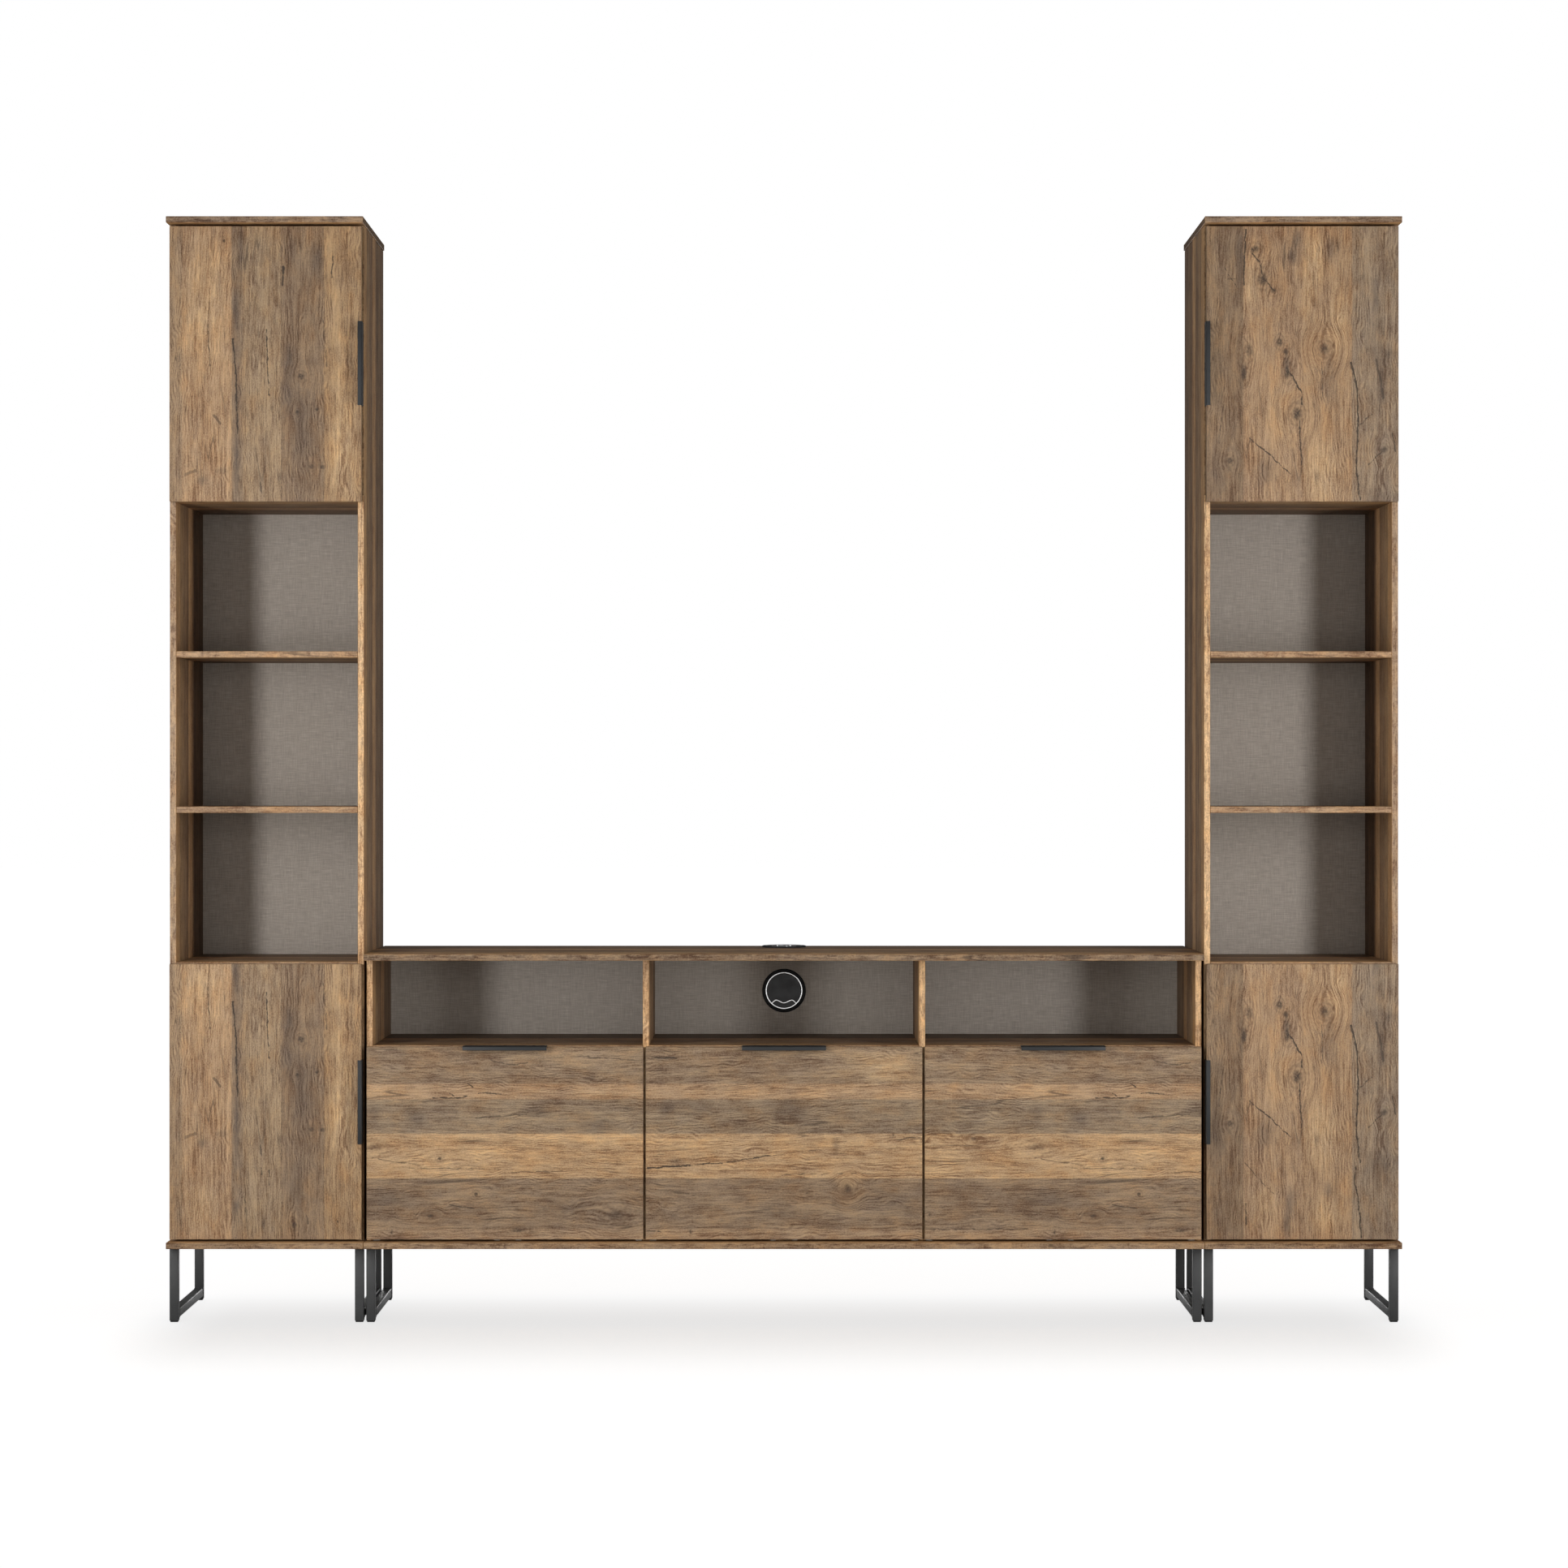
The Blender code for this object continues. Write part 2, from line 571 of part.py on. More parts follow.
def outlet_outline(gap):
    """Return the cable outlet's outline, moved in by a gap: a wave above an arc."""
    middle = (OUTLET_PEAK_DROP + OUTLET_DIP_DROP) / 2 + gap
    swell = (OUTLET_DIP_DROP - OUTLET_PEAK_DROP) / 2
    arc = OUTLET_ARC_RADIUS - gap
    swing = math.asin((OUTLET_HALF_WIDTH - gap) / arc)
    outline = []
    for step in range(OUTLET_STEPS + 1):
        turn = 2 * step / OUTLET_STEPS - 1
        outline.append((OUTLET_PEAK_OFFSET * turn, -middle - swell * math.cos(math.pi * turn)))
    for step in range(OUTLET_STEPS + 1):
        angle = swing * (1 - 2 * step / OUTLET_STEPS)
        outline.append((arc * math.sin(angle), -arc * math.cos(angle)))
    return outline


def extruded_outline(name, outline, thickness):
    """Return the mesh of a flat outline given a thickness about its own plane."""
    curve = bpy.data.curves.new(name, "CURVE")
    curve.dimensions = "2D"
    curve.fill_mode = "BOTH"
    curve.extrude = thickness / 2
    spline = curve.splines.new("POLY")
    spline.points.add(len(outline) - 1)
    for point, (x, y) in zip(spline.points, outline):
        point.co = (x, y, 0, 1)
    spline.use_cyclic_u = True
    flat = bpy.data.objects.new(name, curve)
    CUTTERS.objects.link(flat)
    bpy.context.view_layer.update()
    graph = bpy.context.evaluated_depsgraph_get()
    mesh = bpy.data.meshes.new_from_object(flat.evaluated_get(graph))
    bpy.data.objects.remove(flat)
    return mesh


def settle_mesh(mesh, place):
    """Weld a mesh's loose caps, move it by a matrix and turn its faces out."""
    shape = bmesh.new()
    shape.from_mesh(mesh)
    bmesh.ops.remove_doubles(shape, verts=shape.verts, dist=WELD_DISTANCE)
    bmesh.ops.transform(shape, matrix=place, verts=shape.verts)
    bmesh.ops.recalc_face_normals(shape, faces=shape.faces)
    shape.to_mesh(mesh)
    shape.free()


def outlet_mesh(name, gap, low, high, place, facing):
    """Return the outlet's outline extruded between two heights above the board."""
    mesh = extruded_outline(name, outlet_outline(gap), high - low)
    stand = Matrix.Translation(place) @ facing_turn(facing).to_4x4()
    settle_mesh(mesh, stand @ Matrix.Translation((0, 0, (low + high) / 2)))
    return mesh


def add_grommet(name, place, facing, board):
    """Add a cable grommet: its flanged sleeve in a hole in the board, and its turning cap."""
    inner = SLEEVE_RADIUS - SLEEVE_WALL
    seat_radius = CAP_RADIUS + TURNING_GAP
    sleeve = [(FLANGE_RADIUS - FLANGE_TAPER, JOINT_GAP + FLANGE_HEIGHT),
              (FLANGE_RADIUS, JOINT_GAP + FLANGE_LIP),
              (FLANGE_RADIUS, JOINT_GAP),
              (SLEEVE_RADIUS, JOINT_GAP),
              (SLEEVE_RADIUS, -SLEEVE_REACH),
              (inner, -SLEEVE_REACH),
              (inner, CAP_SEAT - JOINT_GAP - LEDGE_THICKNESS),
              (LEDGE_RADIUS, CAP_SEAT - JOINT_GAP - LEDGE_THICKNESS),
              (LEDGE_RADIUS, CAP_SEAT - JOINT_GAP),
              (seat_radius, CAP_SEAT - JOINT_GAP),
              (seat_radius, JOINT_GAP + FLANGE_HEIGHT)]
    turned_part(name + "_sleeve", sleeve, True, "black_plastic", place, facing)
    skirt = LEDGE_RADIUS - TURNING_GAP
    cap = [(0, CAP_CROWN),
           (CAP_RADIUS - CAP_TAPER, CAP_CROWN),
           (CAP_RADIUS, JOINT_GAP + FLANGE_HEIGHT),
           (CAP_RADIUS, CAP_SEAT),
           (skirt, CAP_SEAT),
           (skirt, CAP_SEAT - CAP_SKIRT),
           (skirt - CAP_SKIRT_WALL, CAP_SEAT - CAP_SKIRT),
           (skirt - CAP_SKIRT_WALL, CAP_SEAT),
           (0, CAP_SEAT)]
    axis = joint_axis(name + "_turning_axis", place)
    disc = turned_part(name + "_cap", cap, False, "black_plastic", place, facing, axis)
    slot = outlet_mesh(name + "_outlet", 0, -CUT_OVERRUN, CUT_OVERRUN, place, facing)
    cut(disc, add_cutter(name + "_outlet", slot))
    flap = outlet_mesh(name + "_flap", JOINT_GAP, CAP_SEAT, CAP_CROWN - JOINT_GAP, place, facing)
    add_part(name + "_flap", flap, "black_plastic", axis)
    through = 2 * (BOARD + CUT_OVERRUN)
    hole = rods_mesh(name + "_hole", [(place, through)], HOLE_RADIUS, TURN_STEPS, facing)
    cut(board, add_cutter(name + "_hole", hole))


clear_scene()
PARTS = make_collection("entertainment_center")
CUTTERS = make_collection("cutters")
for tower_side in SIDE_NAMES:
    add_tower(tower_side)
add_console()
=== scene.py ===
"""Entertainment center: finishes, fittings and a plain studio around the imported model.

Metres, +Z up.  X runs across the front, Y from the front to the back, and the origin lies
on the floor under the middle of the set.
"""

import logging
import math
from dataclasses import dataclass
from enum import Enum

import bmesh
import bpy
import numpy as np
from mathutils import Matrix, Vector


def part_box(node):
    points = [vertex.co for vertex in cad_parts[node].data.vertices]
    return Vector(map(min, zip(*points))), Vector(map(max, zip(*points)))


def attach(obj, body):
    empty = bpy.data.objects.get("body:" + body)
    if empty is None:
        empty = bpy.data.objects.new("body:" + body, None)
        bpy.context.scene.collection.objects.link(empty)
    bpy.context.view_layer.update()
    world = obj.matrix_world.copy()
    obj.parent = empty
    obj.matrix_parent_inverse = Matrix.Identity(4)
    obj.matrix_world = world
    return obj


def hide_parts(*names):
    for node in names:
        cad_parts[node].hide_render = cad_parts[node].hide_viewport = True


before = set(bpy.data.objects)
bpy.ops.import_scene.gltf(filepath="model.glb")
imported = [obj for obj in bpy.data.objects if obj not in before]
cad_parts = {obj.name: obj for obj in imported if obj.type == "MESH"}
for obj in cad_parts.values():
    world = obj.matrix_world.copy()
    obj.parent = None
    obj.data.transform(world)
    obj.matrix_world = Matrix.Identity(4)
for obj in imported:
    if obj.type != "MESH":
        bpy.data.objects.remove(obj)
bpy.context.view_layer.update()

LOG = logging.getLogger("entertainment_center")
Socket = bpy.types.NodeSocket
Colour = tuple[int, int, int]
Point = tuple[float, float, float]
Pair = tuple[float, float]
Plank = tuple[float, Colour]

BOARD = 0.012
FRONT_THICKNESS = 0.016
FACE_GAP = 0.0015
SHEET_REPEAT = 1.264
# Heights along the inner sides' front edges that get painted shade beside the closed doors.
PAINTED_DOOR_SHADE_STRETCHES = ((0.150, 0.683), (1.580, 2.110))
INWARD_SIDES = ("left_tower_inner_side", "right_tower_inner_side")
WHITE = (1.0, 1.0, 1.0, 1.0)
MERGE_DISTANCE = 0.000002


class Side(Enum):
    """Left or right half of the set, with the sign of its X."""

    LEFT = -1
    RIGHT = 1

    @property
    def label(self) -> str:
        """Name of the side as the nodes spell it."""
        return self.name.lower()


class Level(Enum):
    """Which of a tower's two doors."""

    LOWER = "lower"
    UPPER = "upper"


class Bay(Enum):
    """One of the console's bays, from left to right."""

    LEFT = "left"
    CENTER = "center"
    RIGHT = "right"


class GrainAxis(Enum):
    """World axis that the grain of a board runs along."""

    ACROSS = 0
    UPRIGHT = 2


def linear(colour: Colour, gain: float = 1.0) -> tuple[float, float, float, float]:
    """Turn a display colour into the linear one that a shader works with.

    Args:
        colour: Red, green and blue from 0 to 255.
        gain: Factor on the linear result.

    Returns:
        Linear red, green, blue and an alpha of one.
    """
    share = np.array(colour) / 255
    light = np.where(share <= 0.04045, share / 12.92, ((share + 0.055) / 1.055) ** 2.4) * gain
    return float(light[0]), float(light[1]), float(light[2]), 1.0


class Net:
    """The node tree of one material, with one short call for each kind of node."""

    def __init__(self, name: str) -> None:
        """Start a material that holds a Principled shader and nothing else."""
        self.material = bpy.data.materials.new(name)
        self.material.use_nodes = True
        self.tree = self.material.node_tree
        self.shader = self.tree.nodes["Principled BSDF"]
        self.placed = 0

    def add(self, kind: str, inputs: dict, output: int = 0, **settings: object) -> Socket:
        """Add a node, set its options, and link or set its inputs.

        Args:
            kind: Type of the node.
            inputs: A socket or a plain value for each input, by index or name.
            output: Index of the output to hand back.
            settings: Options of the node.

        Returns:
            The chosen output.
        """
        node = self.tree.nodes.new(kind)
        node.location = (-220 * (self.placed // 12 + 1), -160 * (self.placed % 12))
        self.placed += 1
        for key, value in settings.items():
            setattr(node, key, value)
        for key, value in inputs.items():
            if isinstance(value, Socket):
                self.tree.links.new(value, node.inputs[key])
            else:
                node.inputs[key].default_value = value
        return node.outputs[output]

    def place(self) -> Socket:
        """Return the place on the object in metres."""
        return self.add("ShaderNodeTexCoord", {}, 3)

    def facing(self) -> Socket:
        """Return the direction that the surface faces."""
        return self.add("ShaderNodeTexCoord", {}, 1)

    def calc(self, operation: str, *values: object) -> Socket:
        """Return the result of a Math node."""
        return self.add("ShaderNodeMath", dict(enumerate(values)), operation=operation)

    def vector(self, operation: str, *values: object) -> Socket:
        """Return the vector that a Vector Math node gives."""
        return self.add("ShaderNodeVectorMath", dict(enumerate(values)), operation=operation)

    def scaled(self, vector: Socket, factor: object) -> Socket:
        """Return a vector times a number."""
        return self.add("ShaderNodeVectorMath", {0: vector, 3: factor}, operation="SCALE")

    def measure(self, operation: str, *values: object) -> Socket:
        """Return the number that a Vector Math node gives."""
        return self.add("ShaderNodeVectorMath", dict(enumerate(values)), 1, operation=operation)

    def ellipse(self, centre: Pair, sizes: Pair, spot: Socket) -> tuple[Socket, Socket]:
        """Measure how far a spot lies from a centre, as a share of an ellipse's half sizes.

        Args:
            centre: Place of the ellipse's middle.
            sizes: Its half sizes.
            spot: Place to measure.

        Returns:
            The way from the centre to the spot, and the share.
        """
        away = self.vector("SUBTRACT", spot, (*centre, 0.0))
        share = self.vector("MULTIPLY", away, (1 / sizes[0], 1 / sizes[1], 0.0))
        return away, self.measure("LENGTH", share)

    def combine(self, x: object, y: object, z: object) -> Socket:
        """Return a vector of three numbers."""
        return self.add("ShaderNodeCombineXYZ", {0: x, 1: y, 2: z})

    def split(self, vector: Socket) -> tuple[Socket, Socket, Socket]:
        """Return the three numbers of a vector."""
        outputs = self.add("ShaderNodeSeparateXYZ", {0: vector}).node.outputs
        return outputs[0], outputs[1], outputs[2]

    def fade(self, value: Socket, start: float, end: float, low: float = 0.0,
             high: float = 1.0) -> Socket:
        """Step smoothly between two levels.

        Args:
            value: Number that the step follows.
            start: Where the step starts.
            end: Where it ends.
            low: Level up to the start.
            high: Level from the end on.

        Returns:
            The level.
        """
        inputs = {0: value, 1: start, 2: end, 3: low, 4: high}
        return self.add("ShaderNodeMapRange", inputs, interpolation_type="SMOOTHSTEP")

    def noise(self, place: Socket, stretch: Point, detail: float = 2.0,
              roughness: float = 0.5, output: int = 0) -> Socket:
        """Lay fractal noise over a place stretched by a factor on each axis.

        Args:
            place: Place to read the noise at.
            stretch: Factor on each axis, in waves per metre.
            detail: Number of finer layers.
            roughness: Strength of each finer layer.
            output: 0 for a number, 1 for a colour.

        Returns:
            The noise, from 0 to 1 about a middle of 0.5.
        """
        spot = self.vector("MULTIPLY", place, stretch)
        inputs = {"Vector": spot, "Scale": 1.0, "Detail": detail, "Roughness": roughness}
        return self.add("ShaderNodeTexNoise", inputs, output)

    def mix(self, factor: object, first: object, second: object, mode: str = "MIX") -> Socket:
        """Mix two colours.

        Args:
            factor: Share of the second, from 0 to 1.
            first: First colour.
            second: Second colour.
            mode: Way of mixing.

        Returns:
            The mixed colour.
        """
        inputs = {0: factor, 6: first, 7: second}
        return self.add("ShaderNodeMix", inputs, 2, data_type="RGBA", blend_type=mode)

    def ramp(self, value: Socket, stops: list[tuple[float, tuple]]) -> Socket:
        """Turn a number into a colour.

        Args:
            value: Number from 0 to 1.
            stops: Position and linear colour of each stop.

        Returns:
            The colour.
        """
        colour = self.add("ShaderNodeValToRGB", {0: value})
        elements = colour.node.color_ramp.elements
        while len(elements) < len(stops):
            elements.new(1.0)
        for element, (position, shade) in zip(elements, stops):
            element.position = position
            element.color = shade
        return colour

    def finish(self, colour: Socket, roughness: object, height: Socket | None = None,
               relief: float = 0.0002, **plain: float) -> bpy.types.Material:
        """Feed the shader and hand back the material.

        Args:
            colour: Base colour.
            roughness: Socket or number for the roughness.
            height: Surface height for a bump, or None.
            relief: Depth in metres of that height's full range.
            plain: Plain values of further shader inputs, with _ for a space.

        Returns:
            The finished material.
        """
        inputs = self.shader.inputs
        self.tree.links.new(colour, inputs["Base Color"])
        if isinstance(roughness, Socket):
            self.tree.links.new(roughness, inputs["Roughness"])
        else:
            inputs["Roughness"].default_value = roughness
        if height is not None:
            bump = self.add("ShaderNodeBump", {"Height": height, "Distance": relief, "Strength": 1.0})
            self.tree.links.new(bump, inputs["Normal"])
        for key, value in plain.items():
            inputs[key.replace("_", " ")].default_value = value
        return self.material


@dataclass(frozen=True)
class Knot:
    """A knot printed on a sheet: where it lies, its half sizes, its darkness and its pull.

    The pull says how far the grain lines around it are spread.
    """

    across: float
    along: float
    half_width: float
    half_length: float
    depth: float = 0.8
    pull: float = 0.35


@dataclass(frozen=True)
class Crack:
    """A crack printed on a sheet as a chain of across and along places."""

    points: tuple[Pair, ...]
    width: float = 0.0011
    depth: float = 0.75


@dataclass(frozen=True)
class Stain:
    """A soft cloud on a sheet, darker where its depth is above zero and lighter below."""

    across: float
    along: float
    half_width: float
    half_length: float
    depth: float = 0.4


@dataclass(frozen=True)
class Oak:
    """Weathered oak decor, printed as planks of changing tone.

    The tone is plank colour times a grain factor.  The grain is a sum of noises stretched
    along the grain over places that are themselves shifted by broad noise, so that the
    lines wander.
    """

    grain: GrainAxis
    # Tone of the front faces, set per board to match its lit front edge: partly the edge band's colour,
    # partly painted light.
    edge: Colour
    end: Colour = (140, 116, 92)
    contrast: float = 1.0
    warmth: Point = (1.0, 0.965, 0.86)
    front: float = -0.20
    depth: float = 0.40
    # Stretches of the front edge darkened as painted shade, and the factor on its tone there.
    shaded: tuple[Pair, ...] = ()
    shade: float = 0.42
    turned: float = 0.75
    planks: tuple[Plank, ...] = (
        (0.086, (165, 132, 98)), (0.128, (140, 115, 90)), (0.176, (131, 107, 86)),
        (0.190, (112, 90, 72)), (0.246, (164, 132, 101)), (0.264, (134, 108, 86)),
        (0.292, (108, 87, 70)), (0.330, (122, 101, 82)), (0.400, (112, 91, 75)))

    def spots(self, net: Net) -> tuple[Socket, Socket, Socket, Socket, Socket]:
        """Return across, beside and along coordinates of a board, turned on its end faces.

        Args:
            net: Node tree to add to.

        Returns:
            The three coordinates in metres, how far the surface faces the rear, and
            whether it is an end face.
        """
        x, y, z = net.split(net.place())
        rightward, rearward, upward = net.split(net.facing())
        if self.grain is GrainAxis.UPRIGHT:
            main, end, endward = (y, x, z), (x, z, y), upward
        else:
            main, end, endward = (y, z, x), (z, x, y), rightward
        ended = net.calc("GREATER_THAN", net.calc("ABSOLUTE", endward), self.turned)
        inputs = {0: ended, 4: net.combine(*main), 5: net.combine(*end)}
        picked = net.add("ShaderNodeMix", inputs, 1, data_type="VECTOR")
        return *net.split(picked), rearward, ended

    def material(self, name: str) -> bpy.types.Material:
        """Return the board material: planks side by side from the front to the rear.

        The front faces take the board's edge tone, partly painted light. Over the stretches beside
        closed doors that tone is darker: painted shade where the doors shadow the edge.

        Args:
            name: Name of the material.

        Returns:
            The material.
        """
        net = Net(name)
        across, beside, along, rearward, ended = self.spots(net)
        place = net.combine(across, beside, along)
        share = net.calc("MULTIPLY_ADD", across, 1 / self.depth, -self.front / self.depth)
        tone = net.ramp(share, plank_stops(self.planks, self.depth))
        tone = net.mix(1.0, tone, self.warmth + (1.0,), "MULTIPLY")
        # Front faces take the board's edge tone, which carries painted light as well as the band's
        # colour.
        edge = net.calc("LESS_THAN", rearward, -self.turned)
        tone = net.mix(ended, tone, linear(self.end))
        tone = net.mix(edge, tone, linear(self.edge))
        # Painted shade: the front edge beside closed doors takes a darker copy of its tone.
        for start, end in self.shaded:
            beyond = net.calc("GREATER_THAN", along, start)
            inside = net.calc("MULTIPLY", beyond, net.calc("LESS_THAN", along, end))
            shaded = net.calc("MULTIPLY", edge, inside)
            tone = net.mix(shaded, tone, linear(self.edge, self.shade))
        return grain_over(net, place, tone, None, self.contrast, 0.18)


def plank_stops(planks: tuple[Plank, ...], width: float,
                joint: float = 0.0009) -> list[tuple[float, tuple]]:
    """Return the stops of a ramp with one colour for each plank and a sharp step between.

    Args:
        planks: Far edge and colour of each plank.
        width: Full width of the planks together.
        joint: Half width of the step between two planks.

    Returns:
        Positions from 0 to 1 with their linear colours.
    """
    stops = []
    near = 0.0
    for far, colour in planks:
        for edge in (near + joint, far - joint):
            stops.append((edge / width, linear(colour)))
        near = far
    return stops


def grain_over(net: Net, place: Socket, tone: Socket, marks: Socket | None,
               contrast: float = 1.0, gloss: float = 0.26) -> bpy.types.Material:
    """Lay wandering grain, curls, pores and marks over a plank colour.

    The curls are sin(1100 m + 38 n), where m is the place across the grain in metres and n
    a noise, so their lines lie a few millimetres apart and wind. They show in broken
    patches.

    Args:
        net: Node tree to add to.
        place: Across, beside and along coordinates.
        tone: Plank colour.
        marks: Darkness of knots, cracks and stains, or None.
        contrast: Factor on the strength of the grain.
        gloss: Specular level.

    Returns:
        The finished material.
    """
    drift = net.noise(place, (9.0, 5.0, 1.5), 1.0)
    sway = net.noise(place, (30.0, 20.0, 8.0), 2.0)
    shift = net.calc("MULTIPLY_ADD", drift, 0.050, net.calc("MULTIPLY", sway, 0.006))
    flow = net.vector("ADD", place, net.combine(shift, 0.0, 0.0))
    lines = net.noise(flow, (340.0, 180.0, 14.0), 4.0, 0.62)
    layers = [(net.noise(flow, (46.0, 30.0, 3.0), 3.0, 0.6), 0.50),
              (lines, 0.80),
              (net.noise(flow, (760.0, 420.0, 56.0), 2.0, 0.6), 0.68),
              (net.noise(place, (540.0, 300.0, 300.0), 1.0, 0.6), 0.54),
              (net.noise(place, (34.0, 24.0, 20.0), 4.0, 0.62), 0.46),
              (net.noise(place, (12.0, 9.0, 3.5), 2.0), 0.20)]
    pores = net.fade(net.noise(flow, (420.0, 260.0, 36.0), 1.0), 0.60, 0.70)
    wind = net.calc("MULTIPLY", net.noise(place, (30.0, 22.0, 18.0), 1.0), 38.0)
    across, _, _ = net.split(flow)
    curl = net.calc("SINE", net.calc("MULTIPLY_ADD", across, 1100.0, wind))
    patch = net.fade(net.noise(place, (26.0, 18.0, 9.0), 1.0), 0.48, 0.62, 0.0, 0.13)
    broken = net.fade(net.noise(place, (90.0, 60.0, 40.0), 1.0), 0.35, 0.60, 0.25, 1.0)
    total = net.calc("MULTIPLY", curl, net.calc("MULTIPLY", patch, broken))
    for layer, share in layers:
        total = net.calc("MULTIPLY_ADD", layer, share, total)
    middle = net.calc("SUBTRACT", total, sum(share for _, share in layers) / 2)
    light = net.add("ShaderNodeRGBToBW", {0: tone})
    lively = net.fade(light, 0.16, 0.28, 1.72 * contrast, 1.55 * contrast)
    level = net.calc("MULTIPLY_ADD", middle, lively, 0.5)
    factor = net.ramp(level, [(0.0, (0.40, 0.31, 0.27, 1)), (0.30, (0.74, 0.67, 0.63, 1)),
                              (0.52, (1.0, 0.99, 0.98, 1)), (0.78, (1.27, 1.255, 1.20, 1)),
                              (1.0, (1.50, 1.48, 1.38, 1))])
    colour = net.mix(1.0, tone, factor, "MULTIPLY")
    hue = net.ramp(net.noise(place, (44.0, 30.0, 20.0), 3.0, 0.6),
                   [(0.30, (1.06, 0.98, 0.88, 1)), (0.5, WHITE), (0.70, (0.97, 1.0, 1.07, 1))])
    colour = net.mix(1.0, colour, hue, "MULTIPLY")
    vein = net.calc("SUBTRACT", net.noise(flow, (58.0, 40.0, 3.2), 1.0), 0.5)
    sparse = net.fade(net.noise(place, (16.0, 12.0, 6.0), 1.0), 0.54, 0.66, 0.0, 0.55)
    check = net.fade(net.calc("ABSOLUTE", vein), 0.005, 0.020, 1.0, 0.0)
    checks = net.calc("MULTIPLY", check, sparse)
    dark = net.calc("MAXIMUM", net.calc("MULTIPLY", pores, 0.30), checks)
    if marks is not None:
        dark = net.calc("MAXIMUM", dark, marks)
    colour = net.mix(dark, colour, (0.040, 0.027, 0.020, 1.0))
    height = net.calc("MULTIPLY_ADD", lines, 0.6, net.calc("MULTIPLY", dark, -0.8))
    rough = net.fade(lines, 0.3, 0.7, 0.62, 0.50)
    return net.finish(colour, rough, height, 0.00018, Specular_IOR_Level=gloss)


@dataclass(frozen=True)
class DecorSheet:
    """One printed oak sheet that several fronts are cut from, with its planks and marks listed.

    Places on it are measured across and along the grain from its own origin.  Past the
    seam the same sheet starts again.
    """

    planks: tuple[Plank, ...]
    width: float
    grain: GrainAxis
    across_origin: float
    across_sign: int
    along_origin: float
    along_sign: int
    seam: float
    knots: tuple[Knot, ...]
    cracks: tuple[Crack, ...]
    stains: tuple[Stain, ...]
    ragged_shift: float = 0.008
    joint_shift: float = 0.0022
    stained: Point = (0.085, 0.062, 0.050)
    bleached: Point = (0.560, 0.380, 0.205)

    def material(self, name: str) -> bpy.types.Material:
        """Return the material of the fronts cut from this sheet.

        Args:
            name: Name of the material.

        Returns:
            The material.
        """
        net = Net(name)
        x, y, z = net.split(net.place())
        raw_across, raw_along = (x, z) if self.grain is GrainAxis.UPRIGHT else (z, x)
        past = net.calc("GREATER_THAN", raw_along, self.seam)
        folded = net.calc("MULTIPLY_ADD", past, -SHEET_REPEAT, raw_along)
        across = net.calc("MULTIPLY_ADD", raw_across, self.across_sign,
                          -self.across_sign * self.across_origin)
        along = net.calc("MULTIPLY_ADD", folded, self.along_sign,
                         -self.along_sign * self.along_origin)
        spot = net.combine(across, along, 0.0)
        jitter = net.noise(spot, (120.0, 60.0, 0.0), 2.0, 0.6, 1)
        shift = net.vector("SUBTRACT", jitter, (0.5, 0.5, 0.5))
        ragged = net.vector("ADD", spot, net.scaled(shift, self.ragged_shift))
        bent, dark = self.lay_knots(net, spot, ragged)
        dark = self.lay_cracks(net, ragged, dark)
        shade = self.lay_stains(net, ragged)
        bent_across, bent_along, _ = net.split(bent)
        joint = net.calc("MULTIPLY_ADD", net.split(jitter)[0], self.joint_shift,
                         -self.joint_shift / 2)
        share = net.calc("MULTIPLY", net.calc("ADD", across, joint), 1 / self.width)
        tone = net.ramp(share, plank_stops(self.planks, self.width))
        for sign, tint in ((1.0, self.stained), (-1.0, self.bleached)):
            strength = net.calc("MAXIMUM", net.calc("MULTIPLY", shade, sign), 0.0)
            tone = net.mix(strength, tone, (*tint, 1.0))
        return grain_over(net, net.combine(bent_across, y, bent_along), tone, dark)

    def lay_knots(self, net: Net, spot: Socket, ragged: Socket) -> tuple[Socket, Socket]:
        """Spread the grain round each knot, and darken its heart and a ring round it.

        Args:
            net: Node tree to add to.
            spot: Place on the sheet.
            ragged: The same place with a ragged shift.

        Returns:
            The place with the grain bent, and the darkness of the knots.
        """
        bent = spot
        dark = 0.0
        for knot in self.knots:
            away, reach = net.ellipse((knot.across, knot.along),
                                      (knot.half_width, knot.half_length), ragged)
            heart = net.fade(reach, 0.25, 1.25, min(knot.depth * 1.35, 0.95), 0.0)
            rim = net.calc("ABSOLUTE", net.calc("SUBTRACT", reach, 1.45))
            ring = net.fade(rim, 0.05, 0.40, knot.depth * 0.35, 0.0)
            pull = net.fade(reach, 0.6, 5.5, -knot.pull, 0.0)
            bent = net.vector("ADD", bent, net.scaled(away, pull))
            dark = net.calc("MAXIMUM", dark, net.calc("MAXIMUM", heart, ring))
        broken = net.fade(net.noise(spot, (300.0, 220.0, 0.0), 2.0, 0.6), 0.36, 0.60, 0.60, 1.0)
        return bent, net.calc("MULTIPLY", dark, broken)

    def lay_cracks(self, net: Net, ragged: Socket, dark: Socket) -> Socket:
        """Darken each crack: full depth on its line, fading over its width and at both ends.

        Args:
            net: Node tree to add to.
            ragged: Place on the sheet with a ragged shift.
            dark: Darkness so far.

        Returns:
            The darkness with the cracks.
        """
        for crack in self.cracks:
            for start, end in zip(crack.points, crack.points[1:]):
                run = (end[0] - start[0], end[1] - start[1])
                square = run[0] ** 2 + run[1] ** 2
                away = net.vector("SUBTRACT", ragged, (start[0], start[1], 0.0))
                reach = net.measure("DOT_PRODUCT", away, (run[0] / square, run[1] / square, 0.0))
                held = net.add("ShaderNodeClamp", {0: reach})
                foot = net.scaled(net.combine(run[0], run[1], 0.0), held)
                gap = net.measure("DISTANCE", away, foot)
                line = net.fade(gap, crack.width * 0.45, crack.width * 1.5,
                                min(crack.depth * 1.3, 0.92), 0.0)
                dark = net.calc("MAXIMUM", dark, line)
        return dark

